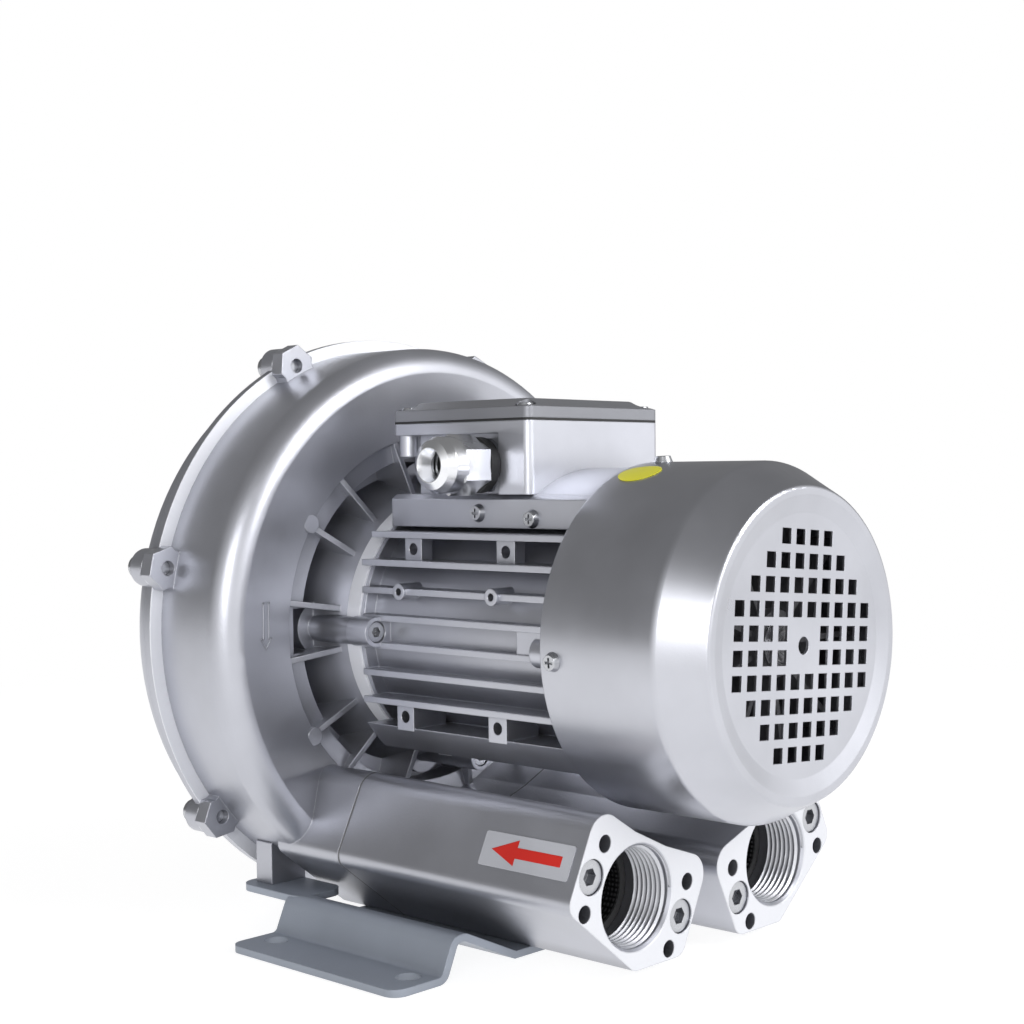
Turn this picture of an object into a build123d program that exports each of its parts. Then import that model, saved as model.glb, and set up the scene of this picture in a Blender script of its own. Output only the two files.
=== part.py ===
"""Side channel blower: a ring-channel wheel in a cast housing on the shaft of a finned motor.

Frame: X across, Y along the shaft with the ports and the fan cover at -Y, Z up.
The floor is z = 0 and the origin lies under the middle of the bounding box.
A station is the distance along the shaft behind the front lip of the fan cover.
"""

from build123d import *
import os
from math import cos, radians, sin, sqrt, tan

os.makedirs("parts", exist_ok=True)

# ---------------------------------------------------------------- sizes, mm
axis_height = 127.0
fit_gap = 0.05  # radial play of a press or screw fit
seat_gap = 0.2  # play of a loose fit
running_gap = 0.3  # air between a turning and a standing piece

# fan cover
cover_radius = 70.0
cover_sheet = 1.2
cover_length = 72.5
bevel_length = 18.3
lip_radius = 58.5
lip_step = 1.8
lip_flat = 3.0
grille_radius = 50.5
hole_pitch = 9.1
hole_size = 5.9
grille_rows = 10
centre_hole_radius = 3.4
grille_tilt = -4.4
cover_screw_setback = 6.4
cover_screw_turn = 3.5
lip_front = 0.0
cover_screw_radius = 2.0

# motor barrel
motor_bore = 48.0
barrel_wall = 4.5
frame_length = 117.6
frame_overlap = 1.5  # how far the barrel reaches under the fan cover
fin_half_width = 58.0
fin_top_width = 52.3
fin_spacing = 11.6
fin_sheet = 2.6
fin_setback = 1.2
sole_width = 48.7
sole_drop = 50.5
pedestal_half_width = 40.5
pedestal_low = 43.8
pedestal_high = 57.4
collar_radius = 67.8
mount_lug_sheet = 7.0
mount_lug_radius = 6.4
shield_boss_radius = 6.0
shield_boss_length = 16.0
side_pad_length = 26.0
boss_length = 10.0
foot_hole_radius = 2.5
foot_hole_end = 42.0
link_boss_radius = 3.4
link_hole_radius = 1.6
wire_hole_radius = 5.0
side_screw_radius = 2.0
side_screw_length = 8.0

# bearing shield at the fan end
shield_overlap = 14.0
shield_wall = 5.0
spigot_length = 4.0
shield_rim = 6.0
shield_screw_radius = 2.5
shield_screw_circle = 55.0

# shaft, bearings and rotor
fan_journal_radius = 7.5
drive_journal_radius = 10.0
shaft_radius = 12.0
wheel_seat_radius = 9.0
fan_bearing_radius = 17.5
fan_bearing_width = 11.0
drive_bearing_radius = 23.5
drive_bearing_width = 14.0
spring_sheet = 0.8
spring_width = 3.5
spring_play = 0.5
bearing_balls = 7
fan_ball_radius = 2.9
drive_ball_radius = 3.9
air_gap = 0.35
rotor_radius = 25.0
core_length = 65.0
core_setback = 24.0
slot_count = 18
slot_depth = 12.0
slot_width = 5.0
winding_overhang = 16.0
key_width = 6.0
key_height = 5.0
key_length = 10.0
groove_depth = 0.6
fan_key_width = 3.0
fan_key_height = 3.0
wheel_bolt_radius = 3.0
end_ring_length = 7.0

# cooling fan
fan_radius = 60.0
fan_sheet = 2.2
fan_width = 24.0
fan_blades = 9
fan_front = 14.0
fan_hub_radius = 13.0

# wheel and its ring channel
wheel_radius = 116.0
wheel_width = 28.0
wheel_web = 5.0
wheel_ring_inner = 83.0
blade_count = 36
blade_sheet = 2.2
channel_radius = 14.0
channel_centre = 102.0
channel_offset = 2.0
stripper_angle = 13.0
washer_sheet = 2.5
bolt_head = 4.0

# blower housing and its cover
body_radius = 122.5
casting_wall = 5.0
shoulder_radius = 10.5
annulus_radius = 83.0
ledge_radius = 74.0
cone_radius = 66.0
spigot_radius = 59.2
spigot_neck = 58.3
spigot_width = 9.1
annulus_slope = 7.8
recess_depth = 16.6
front_wall = 4.5
rim_radius = 128.0
rim_sheet = 4.0
lug_count = 7
lug_radius = 126.5
lug_size = 8.0
lug_front = 7.0
lug_back = 8.5
lug_bolt_radius = 3.0
lug_bolt_short = 3.0
rib_sheet = 2.4
mount_radius = 60.0
mount_disc = 11.5
mount_disc_height = 8.0
mount_post = 6.0
mount_screw_radius = 2.5
mount_screw_grip = 16.0
mount_head_radius = 4.25
mount_head_height = 5.0
seal_radius = 16.0
floor_clearance = 1.5
floor_cut_width = 120.0
floor_cut_depth = 20.0
pad_radius = 3.85
pocket_half_width = 9.6
pocket_depth = 8.0
leg_middle = 73.0
leg_width = 18.0
leg_top_drop = 91.7  # how far below the axis the legs run into the ring
leg_front = 221.5
leg_length = 10.5
seam_growth = 1.1
cap_radius = 30.0
cover_bolt_head = 5.0

# ducts
port_spacing = 89.3
port_drop = 94.6
port_turn = 25.6
port_station = 47.0
thread_radius = 20.95
bore_radius = 19.5
thread_depth = 22.0
seam_station = 175.8
duct_half_width = 36.2
duct_waist = 22.4
duct_shoulder = 25.4
duct_flat_drop = 122.6
port_hole_u = 26.7
port_hole_v = 13.4
port_hole_radius = 3.4
port_hole_depth = 16.0
duct_screw_u = 28.7
duct_screw_radius = 4.0
duct_head_radius = 6.5
duct_head_height = 8.0
duct_screw_grip = 15.0
duct_low_corner = -15.0
duct_keel = 10.0
cavity_radius = 20.5
inlet_radius = 13.6
liner_radius = 16.4
liner_sheet = 0.8
liner_play = 1.2
gasket_sheet = 1.0
plate_screw_x = 32.0

# terminal box
box_front = 105.7
box_length = 81.0
box_wall = 3.5
box_back_wall = 2.6
box_recess = 5.9
box_top = 82.4
box_flange = 4.8
box_post = 17.0
lid_gasket_sheet = 1.0
lid_plate = 4.6
lid_rise = 3.6
lid_bevel = 9.0
lid_screw_radius = 2.0
gland_station = 132.6
gland_floor_gap = 0.5
gland_thread_radius = 8.0
gland_flats = 21.5
gland_base_length = 6.2
gland_base_flats = 19.0
gland_nut_length = 24.0
gland_hole_radius = 3.4
lid_boss_radius = 4.2
lid_boss_depth = 9.0
lid_head_radius = 3.8
board_sheet = 4.0
board_half_width = 24.0
board_length = 42.0
board_screw_radius = 2.0
stud_radius = 2.5
stud_height = 11.0
stud_nut = 8.0
stud_nut_height = 4.0
stud_row = 15.0
stud_spacing = 15.0
link_sheet = 1.0
gland_washer_length = 4.4
gland_dome_radius = 11.5
gland_seal_length = 12.0

# base plate
plate_sheet = 3.0
plate_half_width = 118.5
plate_front = 101.5
plate_length = 101.0
ridge_high = 17.3
ridge_x = 85.5
ridge_width = 6.5
wall_foot_x = 95.0
slope_foot_x = 55.0
plate_hole_x = 102.5
plate_hole_pitch = 80.0
plate_hole_setback = 10.7
plate_hole_radius = 5.0
tongue_inner_x = 64.0
tongue_outer_x = 88.0
tongue_corner = 7.0
bend_radius = 2.5
plate_corner = 6.0
tongue_length = 34.0
foot_screw_radius = 3.0
foot_screw_grip = 8.0
foot_screw_depth = 5.0
foot_head_radius = 5.5
foot_head_height = 3.5
low_head_height = 1.2  # the flat heads under the ducts, which stay clear of the floor

# ---------------------------------------------------------------- stations
frame_front = cover_length - frame_overlap
frame_rear = frame_front + frame_length
shield_front = cover_length - shield_overlap
spigot_rear = frame_rear + spigot_width
torus_front = spigot_rear
recess_floor = torus_front + annulus_slope + recess_depth
wheel_front = torus_front + 19.8
wheel_back = wheel_front + wheel_width
chamber_front = wheel_front - running_gap
chamber_back = wheel_back + running_gap
parting = wheel_back - 6.0
hub_wall_back = recess_floor + front_wall
channel_front_centre = chamber_front + channel_offset
channel_back_centre = chamber_back - channel_offset
cover_back = channel_back_centre + channel_radius + casting_wall
overall_length = cover_back
chamber_radius = wheel_radius + running_gap
core_front = frame_front + core_setback
core_back = core_front + core_length
drive_bearing_front = recess_floor - drive_bearing_width
seal_front = recess_floor
fan_bearing_front = shield_front + shield_wall + 3.0
plate_back = plate_front + plate_length


def at(station):
    return station - overall_length / 2


def across(station, x=0.0, z=0.0, turn=0.0):
    """A plane across the shaft, seen from the front, moved to (x, z) from the shaft."""
    return Plane(
        origin=(x, at(station), axis_height + z),
        x_dir=(cos(radians(turn)), 0, sin(radians(turn))),
        z_dir=(0, -1, 0),
    )


def outward(station, radius, angle):
    """A plane whose normal points away from the shaft, at an angle above +X."""
    c, s = cos(radians(angle)), sin(radians(angle))
    return Plane(
        origin=(radius * c, at(station), axis_height + radius * s),
        x_dir=(0, 1, 0),
        z_dir=(c, 0, s),
    )


def section(angle=90.0, x=0.0, z=0.0):
    """The half plane through the shaft, or a line beside it, for (station, radius) outlines."""
    c, s = cos(radians(angle)), sin(radians(angle))
    return Plane(origin=(x, 0, axis_height + z), x_dir=(0, 1, 0), z_dir=(s, 0, -c))


def behind(station, x=0.0, z=0.0):
    """A plane across the shaft that faces backwards."""
    return Plane(origin=(x, at(station), axis_height + z), x_dir=(1, 0, 0), z_dir=(0, 1, 0))


def facing(x, station, z, direction):
    """A plane at a spot, facing up, down or to a side; z is measured from the shaft."""
    return Plane(origin=(x, at(station), axis_height + z), x_dir=(0, 1, 0), z_dir=direction)


def line_along(x=0.0, z=0.0):
    return Axis((x, 0, axis_height + z), (0, 1, 0))


shaft_line = line_along()


def push(face, depth, mode=Mode.ADD):
    """Extrude a face backwards, along +Y."""
    extrude(face, amount=depth, dir=(0, 1, 0), mode=mode)


def turned(*points, x=0.0, z=0.0, mode=Mode.ADD, rounded=()):
    """Revolve an outline of (station, radius) points; rounded holds (station, radius, r)."""
    with BuildSketch(section(90.0, x, z)) as outline:
        with BuildLine():
            Polyline(*[(at(s), r) for s, r in points], close=True)
        make_face()
        for s, r, size in rounded:
            fillet(outline.vertices().sort_by_distance((at(s), r))[0], size)
    revolve(outline.sketch, axis=line_along(x, z), mode=mode)


def rod(front, back, radius, x=0.0, z=0.0, mode=Mode.ADD):
    """A round bar along the shaft direction."""
    with BuildSketch(across(front, x, z)) as disc:
        Circle(radius)
    push(disc.sketch, back - front, mode)


def tube(front, back, outer, inner, x=0.0, z=0.0):
    with BuildSketch(across(front, x, z)) as ring:
        Circle(outer)
        Circle(inner, mode=Mode.SUBTRACT)
    push(ring.sketch, back - front)


def block(x, station, z, mode=Mode.ADD):
    """A box from three (low, high) pairs; z is measured from the shaft."""
    with BuildSketch(across(station[0])) as face:
        with Locations(((x[0] + x[1]) / 2, (z[0] + z[1]) / 2)):
            Rectangle(x[1] - x[0], z[1] - z[0])
    push(face.sketch, station[1] - station[0], mode)


def ring_spots(radius, count, first):
    return [
        (radius * cos(radians(first + 360 / count * i)), radius * sin(radians(first + 360 / count * i)))
        for i in range(count)
    ]


def save(piece, name):
    piece.part.label = name
    export_step(piece.part, f"parts/{name}.step")


# ---------------------------------------------------------------- fan cover
sheet_line = [
    (cover_length, cover_radius - cover_sheet / 2),
    (bevel_length, cover_radius - cover_sheet / 2),
    (lip_front + cover_sheet / 2, lip_radius + lip_flat / 2),
    (lip_front + cover_sheet / 2, lip_radius - lip_flat / 2),
    (lip_front + lip_step + cover_sheet / 2, grille_radius),
    (lip_front + lip_step + cover_sheet / 2, 0),
]
cover_screw_angles = [180 + cover_screw_turn + 90 * i for i in range(4)]
cover_screw_station = cover_length - cover_screw_setback



def grille_spots():
    """Square holes in rows of 4, 6, 8 and 10, with the middle four left out."""
    spots = []
    for row in range(grille_rows):
        z = (grille_rows / 2 - 0.5 - row) * hole_pitch
        holes = min(grille_rows, 4 + 2 * min(row, grille_rows - 1 - row))
        for i in range(holes):
            x = (i - holes / 2 + 0.5) * hole_pitch
            if abs(x) > hole_pitch or abs(z) > hole_pitch:
                spots.append((x, z))
    return spots


with BuildPart() as fan_cover:
    with BuildSketch(section()) as sheet:
        with BuildLine() as bend:
            FilletPolyline(*[(at(s), r) for s, r in sheet_line], radius=[5.0, 1.2, 1.2, 2.5])
        trace(bend.line, line_width=cover_sheet)
    revolve(sheet.sketch, axis=shaft_line)
    with BuildSketch(across(lip_front - 1, turn=grille_tilt)) as grille:
        with Locations(*grille_spots()):
            Rectangle(hole_size, hole_size)
        Circle(centre_hole_radius)
    push(grille.sketch, lip_step + 3, Mode.SUBTRACT)
    for angle in cover_screw_angles:
        with BuildSketch(outward(cover_screw_station, cover_radius - 4, angle)) as hole:
            Circle(cover_screw_radius + seat_gap)
        extrude(hole.sketch, amount=8, mode=Mode.SUBTRACT)
save(fan_cover, "fan_cover")


def pan_screw(plane, radius, length, head_radius, head_height):
    """A pan head screw: the head stands on the plane, the shank goes below it."""
    with BuildSketch(plane) as shank:
        Circle(radius)
    extrude(shank.sketch, amount=-length)
    with BuildSketch(plane) as head:
        Circle(head_radius)
    extrude(head.sketch, amount=head_height, taper=20)
    with BuildSketch(plane.offset(head_height)) as cross:
        Rectangle(head_radius, head_radius / 4)
        Rectangle(head_radius / 4, head_radius)
    extrude(cross.sketch, amount=-head_height / 2, mode=Mode.SUBTRACT)


def socket_screw(plane, radius, length, head_radius, head_height, flats):
    """A socket head screw: the head stands on the plane, the shank goes below it."""
    with BuildSketch(plane) as shank:
        Circle(radius)
    extrude(shank.sketch, amount=-length)
    with BuildSketch(plane) as head:
        Circle(head_radius)
    extrude(head.sketch, amount=head_height)
    with BuildSketch(plane.offset(head_height)) as socket:
        RegularPolygon(flats / 2, 6, major_radius=False)
    extrude(socket.sketch, amount=-head_height / 2, mode=Mode.SUBTRACT)


def hex_screw(plane, radius, length, flats, head_height):
    """A hexagon screw: the head stands on the plane, the shank goes below it."""
    with BuildSketch(plane) as shank:
        Circle(radius)
    extrude(shank.sketch, amount=-length)
    with BuildSketch(plane) as head:
        RegularPolygon(flats / 2, 6, major_radius=False)
    extrude(head.sketch, amount=head_height)


with BuildPart() as fan_cover_screws:
    for angle in cover_screw_angles:
        pan_screw(outward(cover_screw_station, cover_radius, angle), cover_screw_radius, 6.0, 3.8, 2.4)
save(fan_cover_screws, "fan_cover_screws")

# ---------------------------------------------------------------- bearing shield
shield_radius = cover_radius - cover_sheet - seat_gap
shield_hub_radius = fan_bearing_radius + 4.5
shield_screw_spots = ring_spots(shield_screw_circle, 4, 180 + cover_screw_turn)
spring_front = fan_bearing_front - spring_sheet - seat_gap

with BuildPart() as fan_end_shield:
    turned(
        (shield_front, shield_radius),
        (shield_front, shield_radius - shield_rim),
        (shield_front + shield_wall, shield_radius - shield_rim),
        (shield_front + shield_wall, shield_hub_radius),
        (shield_front, shield_hub_radius - 1),
        (shield_front, fan_journal_radius + 2),
        (spring_front, fan_journal_radius + 2),
        (spring_front, fan_bearing_radius + fit_gap),
        (fan_bearing_front + fan_bearing_width + 1, fan_bearing_radius + fit_gap),
        (fan_bearing_front + fan_bearing_width + 1, shield_hub_radius),
        (shield_front + 2 * shield_wall, shield_hub_radius + 1),
        (shield_front + 2 * shield_wall, motor_bore - 5),
        (frame_front + spigot_length, motor_bore - 4),
        (frame_front + spigot_length, motor_bore - fit_gap),
        (frame_front, motor_bore - fit_gap),
        (frame_front, shield_radius),
    )
    for x, z in shield_screw_spots:
        rod(shield_front - 1, frame_front + 1, shield_screw_radius + seat_gap, x, z, Mode.SUBTRACT)
    for angle in cover_screw_angles:
        with BuildSketch(outward(cover_screw_station, shield_radius - 5.5, angle)) as hole:
            Circle(cover_screw_radius + fit_gap)
        extrude(hole.sketch, amount=8, mode=Mode.SUBTRACT)
save(fan_end_shield, "fan_end_shield")

shield_head_seat = shield_front + shield_wall
with BuildPart() as end_shield_screws:
    for x, z in shield_screw_spots:
        seat = across(shield_head_seat, x, z)
        pan_screw(seat, shield_screw_radius, frame_front + 12 - shield_head_seat, 4.6, 3.2)
save(end_shield_screws, "end_shield_screws")

# ---------------------------------------------------------------- motor frame
barrel_radius = motor_bore + barrel_wall
fin_heights = [fin_spacing * (i - 3.5) for i in range(8)]
fin_back = frame_rear - fin_setback
boss_stations = [frame_front + 38.0, frame_front + 92.0]
mount_spots = ring_spots(mount_radius, 4, 0)
mount_lug_front = frame_rear - mount_lug_sheet - mount_head_height - 0.5
mount_pocket_front = mount_lug_front - 0.5
wire_hole_station = mount_pocket_front - box_back_wall - wire_hole_radius - 0.5
side_screw_spots = [(box_front - 1.7, 47.7), (box_front + 28.7, 49.8)]

with BuildPart() as motor_frame:
    with BuildSketch(across(frame_front)) as barrel:
        Circle(barrel_radius)
        with Locations(*[(0, z) for z in fin_heights[:-1]]):
            Rectangle(2 * fin_half_width, fin_sheet)
        with Locations((0, fin_heights[-1])):
            Rectangle(2 * fin_top_width, fin_sheet)
        with BuildLine():
            Polyline(
                (-fin_half_width, fin_heights[0] - fin_sheet / 2),
                (-sole_width, -sole_drop),
                (sole_width, -sole_drop),
                (fin_half_width, fin_heights[0] - fin_sheet / 2),
                close=True,
            )
        make_face()
        with Locations((0, (pedestal_low + pedestal_high) / 2)):
            Rectangle(2 * pedestal_half_width, pedestal_high - pedestal_low)
        Circle(motor_bore, mode=Mode.SUBTRACT)
        Circle(shield_radius, mode=Mode.INTERSECT)
    push(barrel.sketch, fin_back - frame_front)
    with BuildSketch(across(frame_front)) as collar:
        Circle(collar_radius)
        with Locations((0, (pedestal_low + collar_radius) / 2)):
            Rectangle(2 * pedestal_half_width, collar_radius - pedestal_low, mode=Mode.INTERSECT)
        Circle(motor_bore, mode=Mode.SUBTRACT)
    push(collar.sketch, box_front - frame_front)
    tube(fin_back - 1, frame_rear, spigot_radius - 1, motor_bore)
    with BuildSketch(across(mount_lug_front)) as lugs:
        with Locations(*mount_spots):
            Circle(mount_lug_radius)
        with PolarLocations((barrel_radius + mount_radius) / 2, 4):
            Rectangle(mount_radius - barrel_radius + 2, 1.5 * mount_lug_radius)
        Circle(motor_bore + 1, mode=Mode.SUBTRACT)
    push(lugs.sketch, frame_rear - mount_lug_front)
    with BuildSketch(across(frame_front)) as screw_bosses:
        with Locations(*shield_screw_spots):
            Circle(shield_boss_radius)
        Circle(barrel_radius - 1, mode=Mode.SUBTRACT)
    push(screw_bosses.sketch, shield_boss_length)
    with BuildSketch(across(frame_front)) as side_pads:
        with Locations((barrel_radius + 1, 0), (-barrel_radius - 1, 0)):
            Rectangle(2 * (fin_half_width - barrel_radius - 1.5), fin_spacing)
    push(side_pads.sketch, side_pad_length)
    for station in boss_stations:
        with BuildSketch(across(station - boss_length / 2)) as feet_bosses:
            for low, reach in ((fin_heights[0], fin_half_width), (fin_heights[6], fin_top_width)):
                depth = reach - 1.5 - sqrt(motor_bore**2 - (abs(low) - fin_spacing) ** 2)
                for side in (-1, 1):
                    with Locations((side * (reach - 1.5 - depth / 2), low + fin_spacing / 2)):
                        Rectangle(depth, fin_spacing)
            Circle(motor_bore + 1, mode=Mode.SUBTRACT)
        push(feet_bosses.sketch, boss_length)
        for side in (-1, 1):
            with BuildSketch(facing(side * (motor_bore - 1), station, fin_heights[5], (side, 0, 0))) as link:
                Circle(link_boss_radius)
            extrude(link.sketch, amount=fin_half_width + 1.5 - (motor_bore - 1))
            tip = side * (fin_half_width + 2)
            for height, radius, end in (
                (fin_heights[5], link_hole_radius, fin_half_width - 4),
                (fin_heights[0] + fin_spacing / 2, foot_hole_radius, foot_hole_end),
                (fin_heights[6] + fin_spacing / 2, foot_hole_radius, foot_hole_end),
            ):
                with BuildSketch(facing(tip, station, height, (side, 0, 0))) as hole:
                    Circle(radius)
                extrude(hole.sketch, amount=end - fin_half_width - 2, mode=Mode.SUBTRACT)
    with BuildSketch(across(frame_front - 1)) as screw_holes:
        with Locations(*shield_screw_spots):
            Circle(shield_screw_radius + fit_gap)
    push(screw_holes.sketch, shield_boss_length - 2, Mode.SUBTRACT)
    with BuildSketch(across(frame_rear - mount_lug_sheet - 1)) as mount_holes:
        with Locations(*mount_spots):
            Circle(mount_screw_radius + seat_gap)
    push(mount_holes.sketch, mount_lug_sheet + 2, Mode.SUBTRACT)
    pocket_radius = mount_head_radius + running_gap
    for x, z in mount_spots:
        rod(mount_pocket_front, frame_rear - mount_lug_sheet, pocket_radius, x, z, Mode.SUBTRACT)
    with BuildSketch(facing(0, wire_hole_station, pedestal_high + 1, (0, 0, 1))) as wire_hole:
        Circle(wire_hole_radius)
    extrude(wire_hole.sketch, amount=-pedestal_high / 2, mode=Mode.SUBTRACT)
    for station, z in side_screw_spots:
        with BuildSketch(facing(-pedestal_half_width - 1, station, z, (-1, 0, 0))) as side_hole:
            Circle(side_screw_radius + fit_gap)
        extrude(side_hole.sketch, amount=-side_screw_length, mode=Mode.SUBTRACT)
save(motor_frame, "motor_frame")

# ---------------------------------------------------------------- stator
stator_bore = rotor_radius + air_gap
slot_middle = stator_bore + 2 + slot_depth / 2
winding_inner = slot_middle - slot_depth / 2 + 0.5
winding_outer = slot_middle + slot_depth / 2 - 0.5

with BuildPart() as stator_core:
    with BuildSketch(across(core_front)) as lamination:
        Circle(motor_bore - fit_gap)
        Circle(stator_bore, mode=Mode.SUBTRACT)
        with PolarLocations(slot_middle, slot_count):
            Rectangle(slot_depth, slot_width, mode=Mode.SUBTRACT)
        with PolarLocations(stator_bore + 1, slot_count):
            Rectangle(4, 2, mode=Mode.SUBTRACT)
    push(lamination.sketch, core_length)
save(stator_core, "stator_core")

with BuildPart() as stator_windings:
    with BuildSketch(across(core_front - 1)) as bars:
        with PolarLocations(slot_middle, slot_count):
            Rectangle(slot_depth - 2, slot_width - 1)
    push(bars.sketch, core_length + 2)
    for front, back in (
        (core_front - winding_overhang, core_front - 0.5),
        (core_back + 0.5, core_back + winding_overhang),
    ):
        turned(
            (front, winding_inner + 2),
            (front, winding_outer - 2),
            (front + 3, winding_outer + 1),
            (back - 3, winding_outer + 1),
            (back, winding_outer),
            (back, winding_inner),
        )
save(stator_windings, "stator_windings")

# ---------------------------------------------------------------- shaft and rotor
wheel_hub_front = hub_wall_back + 3.0
wheel_hub_back = wheel_back - 2.0
fan_back = fan_front + fan_width
fan_ring_front = fan_front - 1.2
shaft_front = fan_ring_front - 2.5
fan_bearing_back = fan_bearing_front + fan_bearing_width

with BuildPart() as shaft:
    turned(
        (shaft_front, 0),
        (shaft_front, fan_journal_radius - 0.6),
        (shaft_front + 0.6, fan_journal_radius),
        (fan_ring_front, fan_journal_radius),
        (fan_ring_front, fan_journal_radius - groove_depth),
        (fan_front, fan_journal_radius - groove_depth),
        (fan_front, fan_journal_radius),
        (fan_bearing_back, fan_journal_radius),
        (fan_bearing_back, shaft_radius),
        (drive_bearing_front, shaft_radius),
        (drive_bearing_front, drive_journal_radius),
        (wheel_hub_front, drive_journal_radius),
        (wheel_hub_front, wheel_seat_radius),
        (wheel_hub_back - 1, wheel_seat_radius),
        (wheel_hub_back - 1, 0),
    )
    key_station = wheel_hub_front + 2
    block(
        (-key_width / 2, key_width / 2),
        (key_station, key_station + key_length),
        (wheel_seat_radius - key_height / 2, wheel_seat_radius + 1),
        Mode.SUBTRACT,
    )
    block(
        (-fan_key_width / 2, fan_key_width / 2),
        (fan_front + 3, fan_back - 3),
        (fan_journal_radius - fan_key_height / 2, fan_journal_radius + 1),
        Mode.SUBTRACT,
    )
    rod(wheel_hub_back - 20, wheel_hub_back, wheel_bolt_radius + fit_gap, mode=Mode.SUBTRACT)
save(shaft, "shaft")

with BuildPart() as rotor_core:
    tube(core_front, core_back, rotor_radius, shaft_radius)
    tube(core_front - end_ring_length, core_front, rotor_radius - 1.5, shaft_radius + 5)
    tube(core_back, core_back + end_ring_length, rotor_radius - 1.5, shaft_radius + 5)
    for front in (core_front - end_ring_length - 6, core_back + end_ring_length):
        with BuildSketch(across(front)) as vanes:
            with PolarLocations(rotor_radius - 5, 6):
                Rectangle(5, 2)
        push(vanes.sketch, 6)
save(rotor_core, "rotor_core")


def bearing(name, front, width, inner, outer, balls, ball_radius):
    """A ball bearing as an outer ring, an inner ring and a set of balls."""
    pitch = (inner + outer) / 2
    back = front + width
    middle = front + width / 2
    shoulder = ball_radius * 0.65
    groove = ball_radius * 0.8
    with BuildPart() as outer_ring:
        turned(
            (front, outer),
            (front, pitch + shoulder),
            (middle - groove, pitch + shoulder),
            (middle - groove / 2, pitch + ball_radius + 0.1),
            (middle + groove / 2, pitch + ball_radius + 0.1),
            (middle + groove, pitch + shoulder),
            (back, pitch + shoulder),
            (back, outer),
        )
    save(outer_ring, f"{name}_outer_ring")
    with BuildPart() as inner_ring:
        turned(
            (front, inner + fit_gap / 2),
            (front, pitch - shoulder),
            (middle - groove, pitch - shoulder),
            (middle - groove / 2, pitch - ball_radius - 0.1),
            (middle + groove / 2, pitch - ball_radius - 0.1),
            (middle + groove, pitch - shoulder),
            (back, pitch - shoulder),
            (back, inner + fit_gap / 2),
        )
    save(inner_ring, f"{name}_inner_ring")
    with BuildPart() as ball_set:
        for x, z in ring_spots(pitch, balls, 0):
            with Locations((x, at(middle), axis_height + z)):
                Sphere(ball_radius)
    save(ball_set, f"{name}_balls")


bearing(
    "fan_bearing",
    fan_bearing_front,
    fan_bearing_width,
    fan_journal_radius,
    fan_bearing_radius,
    bearing_balls,
    fan_ball_radius,
)
bearing(
    "drive_bearing",
    drive_bearing_front,
    drive_bearing_width,
    drive_journal_radius,
    drive_bearing_radius,
    bearing_balls,
    drive_ball_radius,
)

with BuildPart() as wave_spring:
    spring_outer = fan_bearing_radius - spring_play
    spring_inner = spring_outer - spring_width
    tube(spring_front + seat_gap / 2, fan_bearing_front - seat_gap / 2, spring_outer, spring_inner)
save(wave_spring, "wave_spring")

# ---------------------------------------------------------------- cooling fan
with BuildPart() as cooling_fan:
    turned(
        (fan_front, fan_journal_radius + fit_gap / 2),
        (fan_front, fan_hub_radius),
        (fan_back - fan_sheet, fan_hub_radius + 1),
        (fan_back - fan_sheet, fan_radius),
        (fan_back, fan_radius),
        (fan_back, fan_journal_radius + fit_gap / 2),
    )
    with BuildSketch(across(fan_front + 3)) as blades:
        with PolarLocations((fan_hub_radius + fan_radius) / 2 - 1, fan_blades):
            Rectangle(fan_radius - fan_hub_radius, fan_sheet)
    push(blades.sketch, fan_width - 4)
    block(
        (-fan_key_width / 2 - fit_gap, fan_key_width / 2 + fit_gap),
        (fan_front - 1, fan_back + 1),
        (0, fan_journal_radius + fan_key_height / 2),
        Mode.SUBTRACT,
    )
save(cooling_fan, "cooling_fan")

with BuildPart() as fan_key:
    block(
        (-fan_key_width / 2 + fit_gap, fan_key_width / 2 - fit_gap),
        (fan_front + 3.1, fan_back - 3.1),
        (fan_journal_radius - fan_key_height / 2 + 0.05, fan_journal_radius + fan_key_height / 2 - 0.1),
    )
save(fan_key, "fan_key")

with BuildPart() as fan_retaining_ring:
    with BuildSketch(across(fan_ring_front)) as clip:
        Circle(fan_journal_radius + 2.2)
        Circle(fan_journal_radius - groove_depth + fit_gap, mode=Mode.SUBTRACT)
        with Locations((0, fan_journal_radius + 1)):
            Rectangle(5, 6, mode=Mode.SUBTRACT)
    push(clip.sketch, fan_front - fan_ring_front - 0.1)
save(fan_retaining_ring, "fan_retaining_ring")

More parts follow.
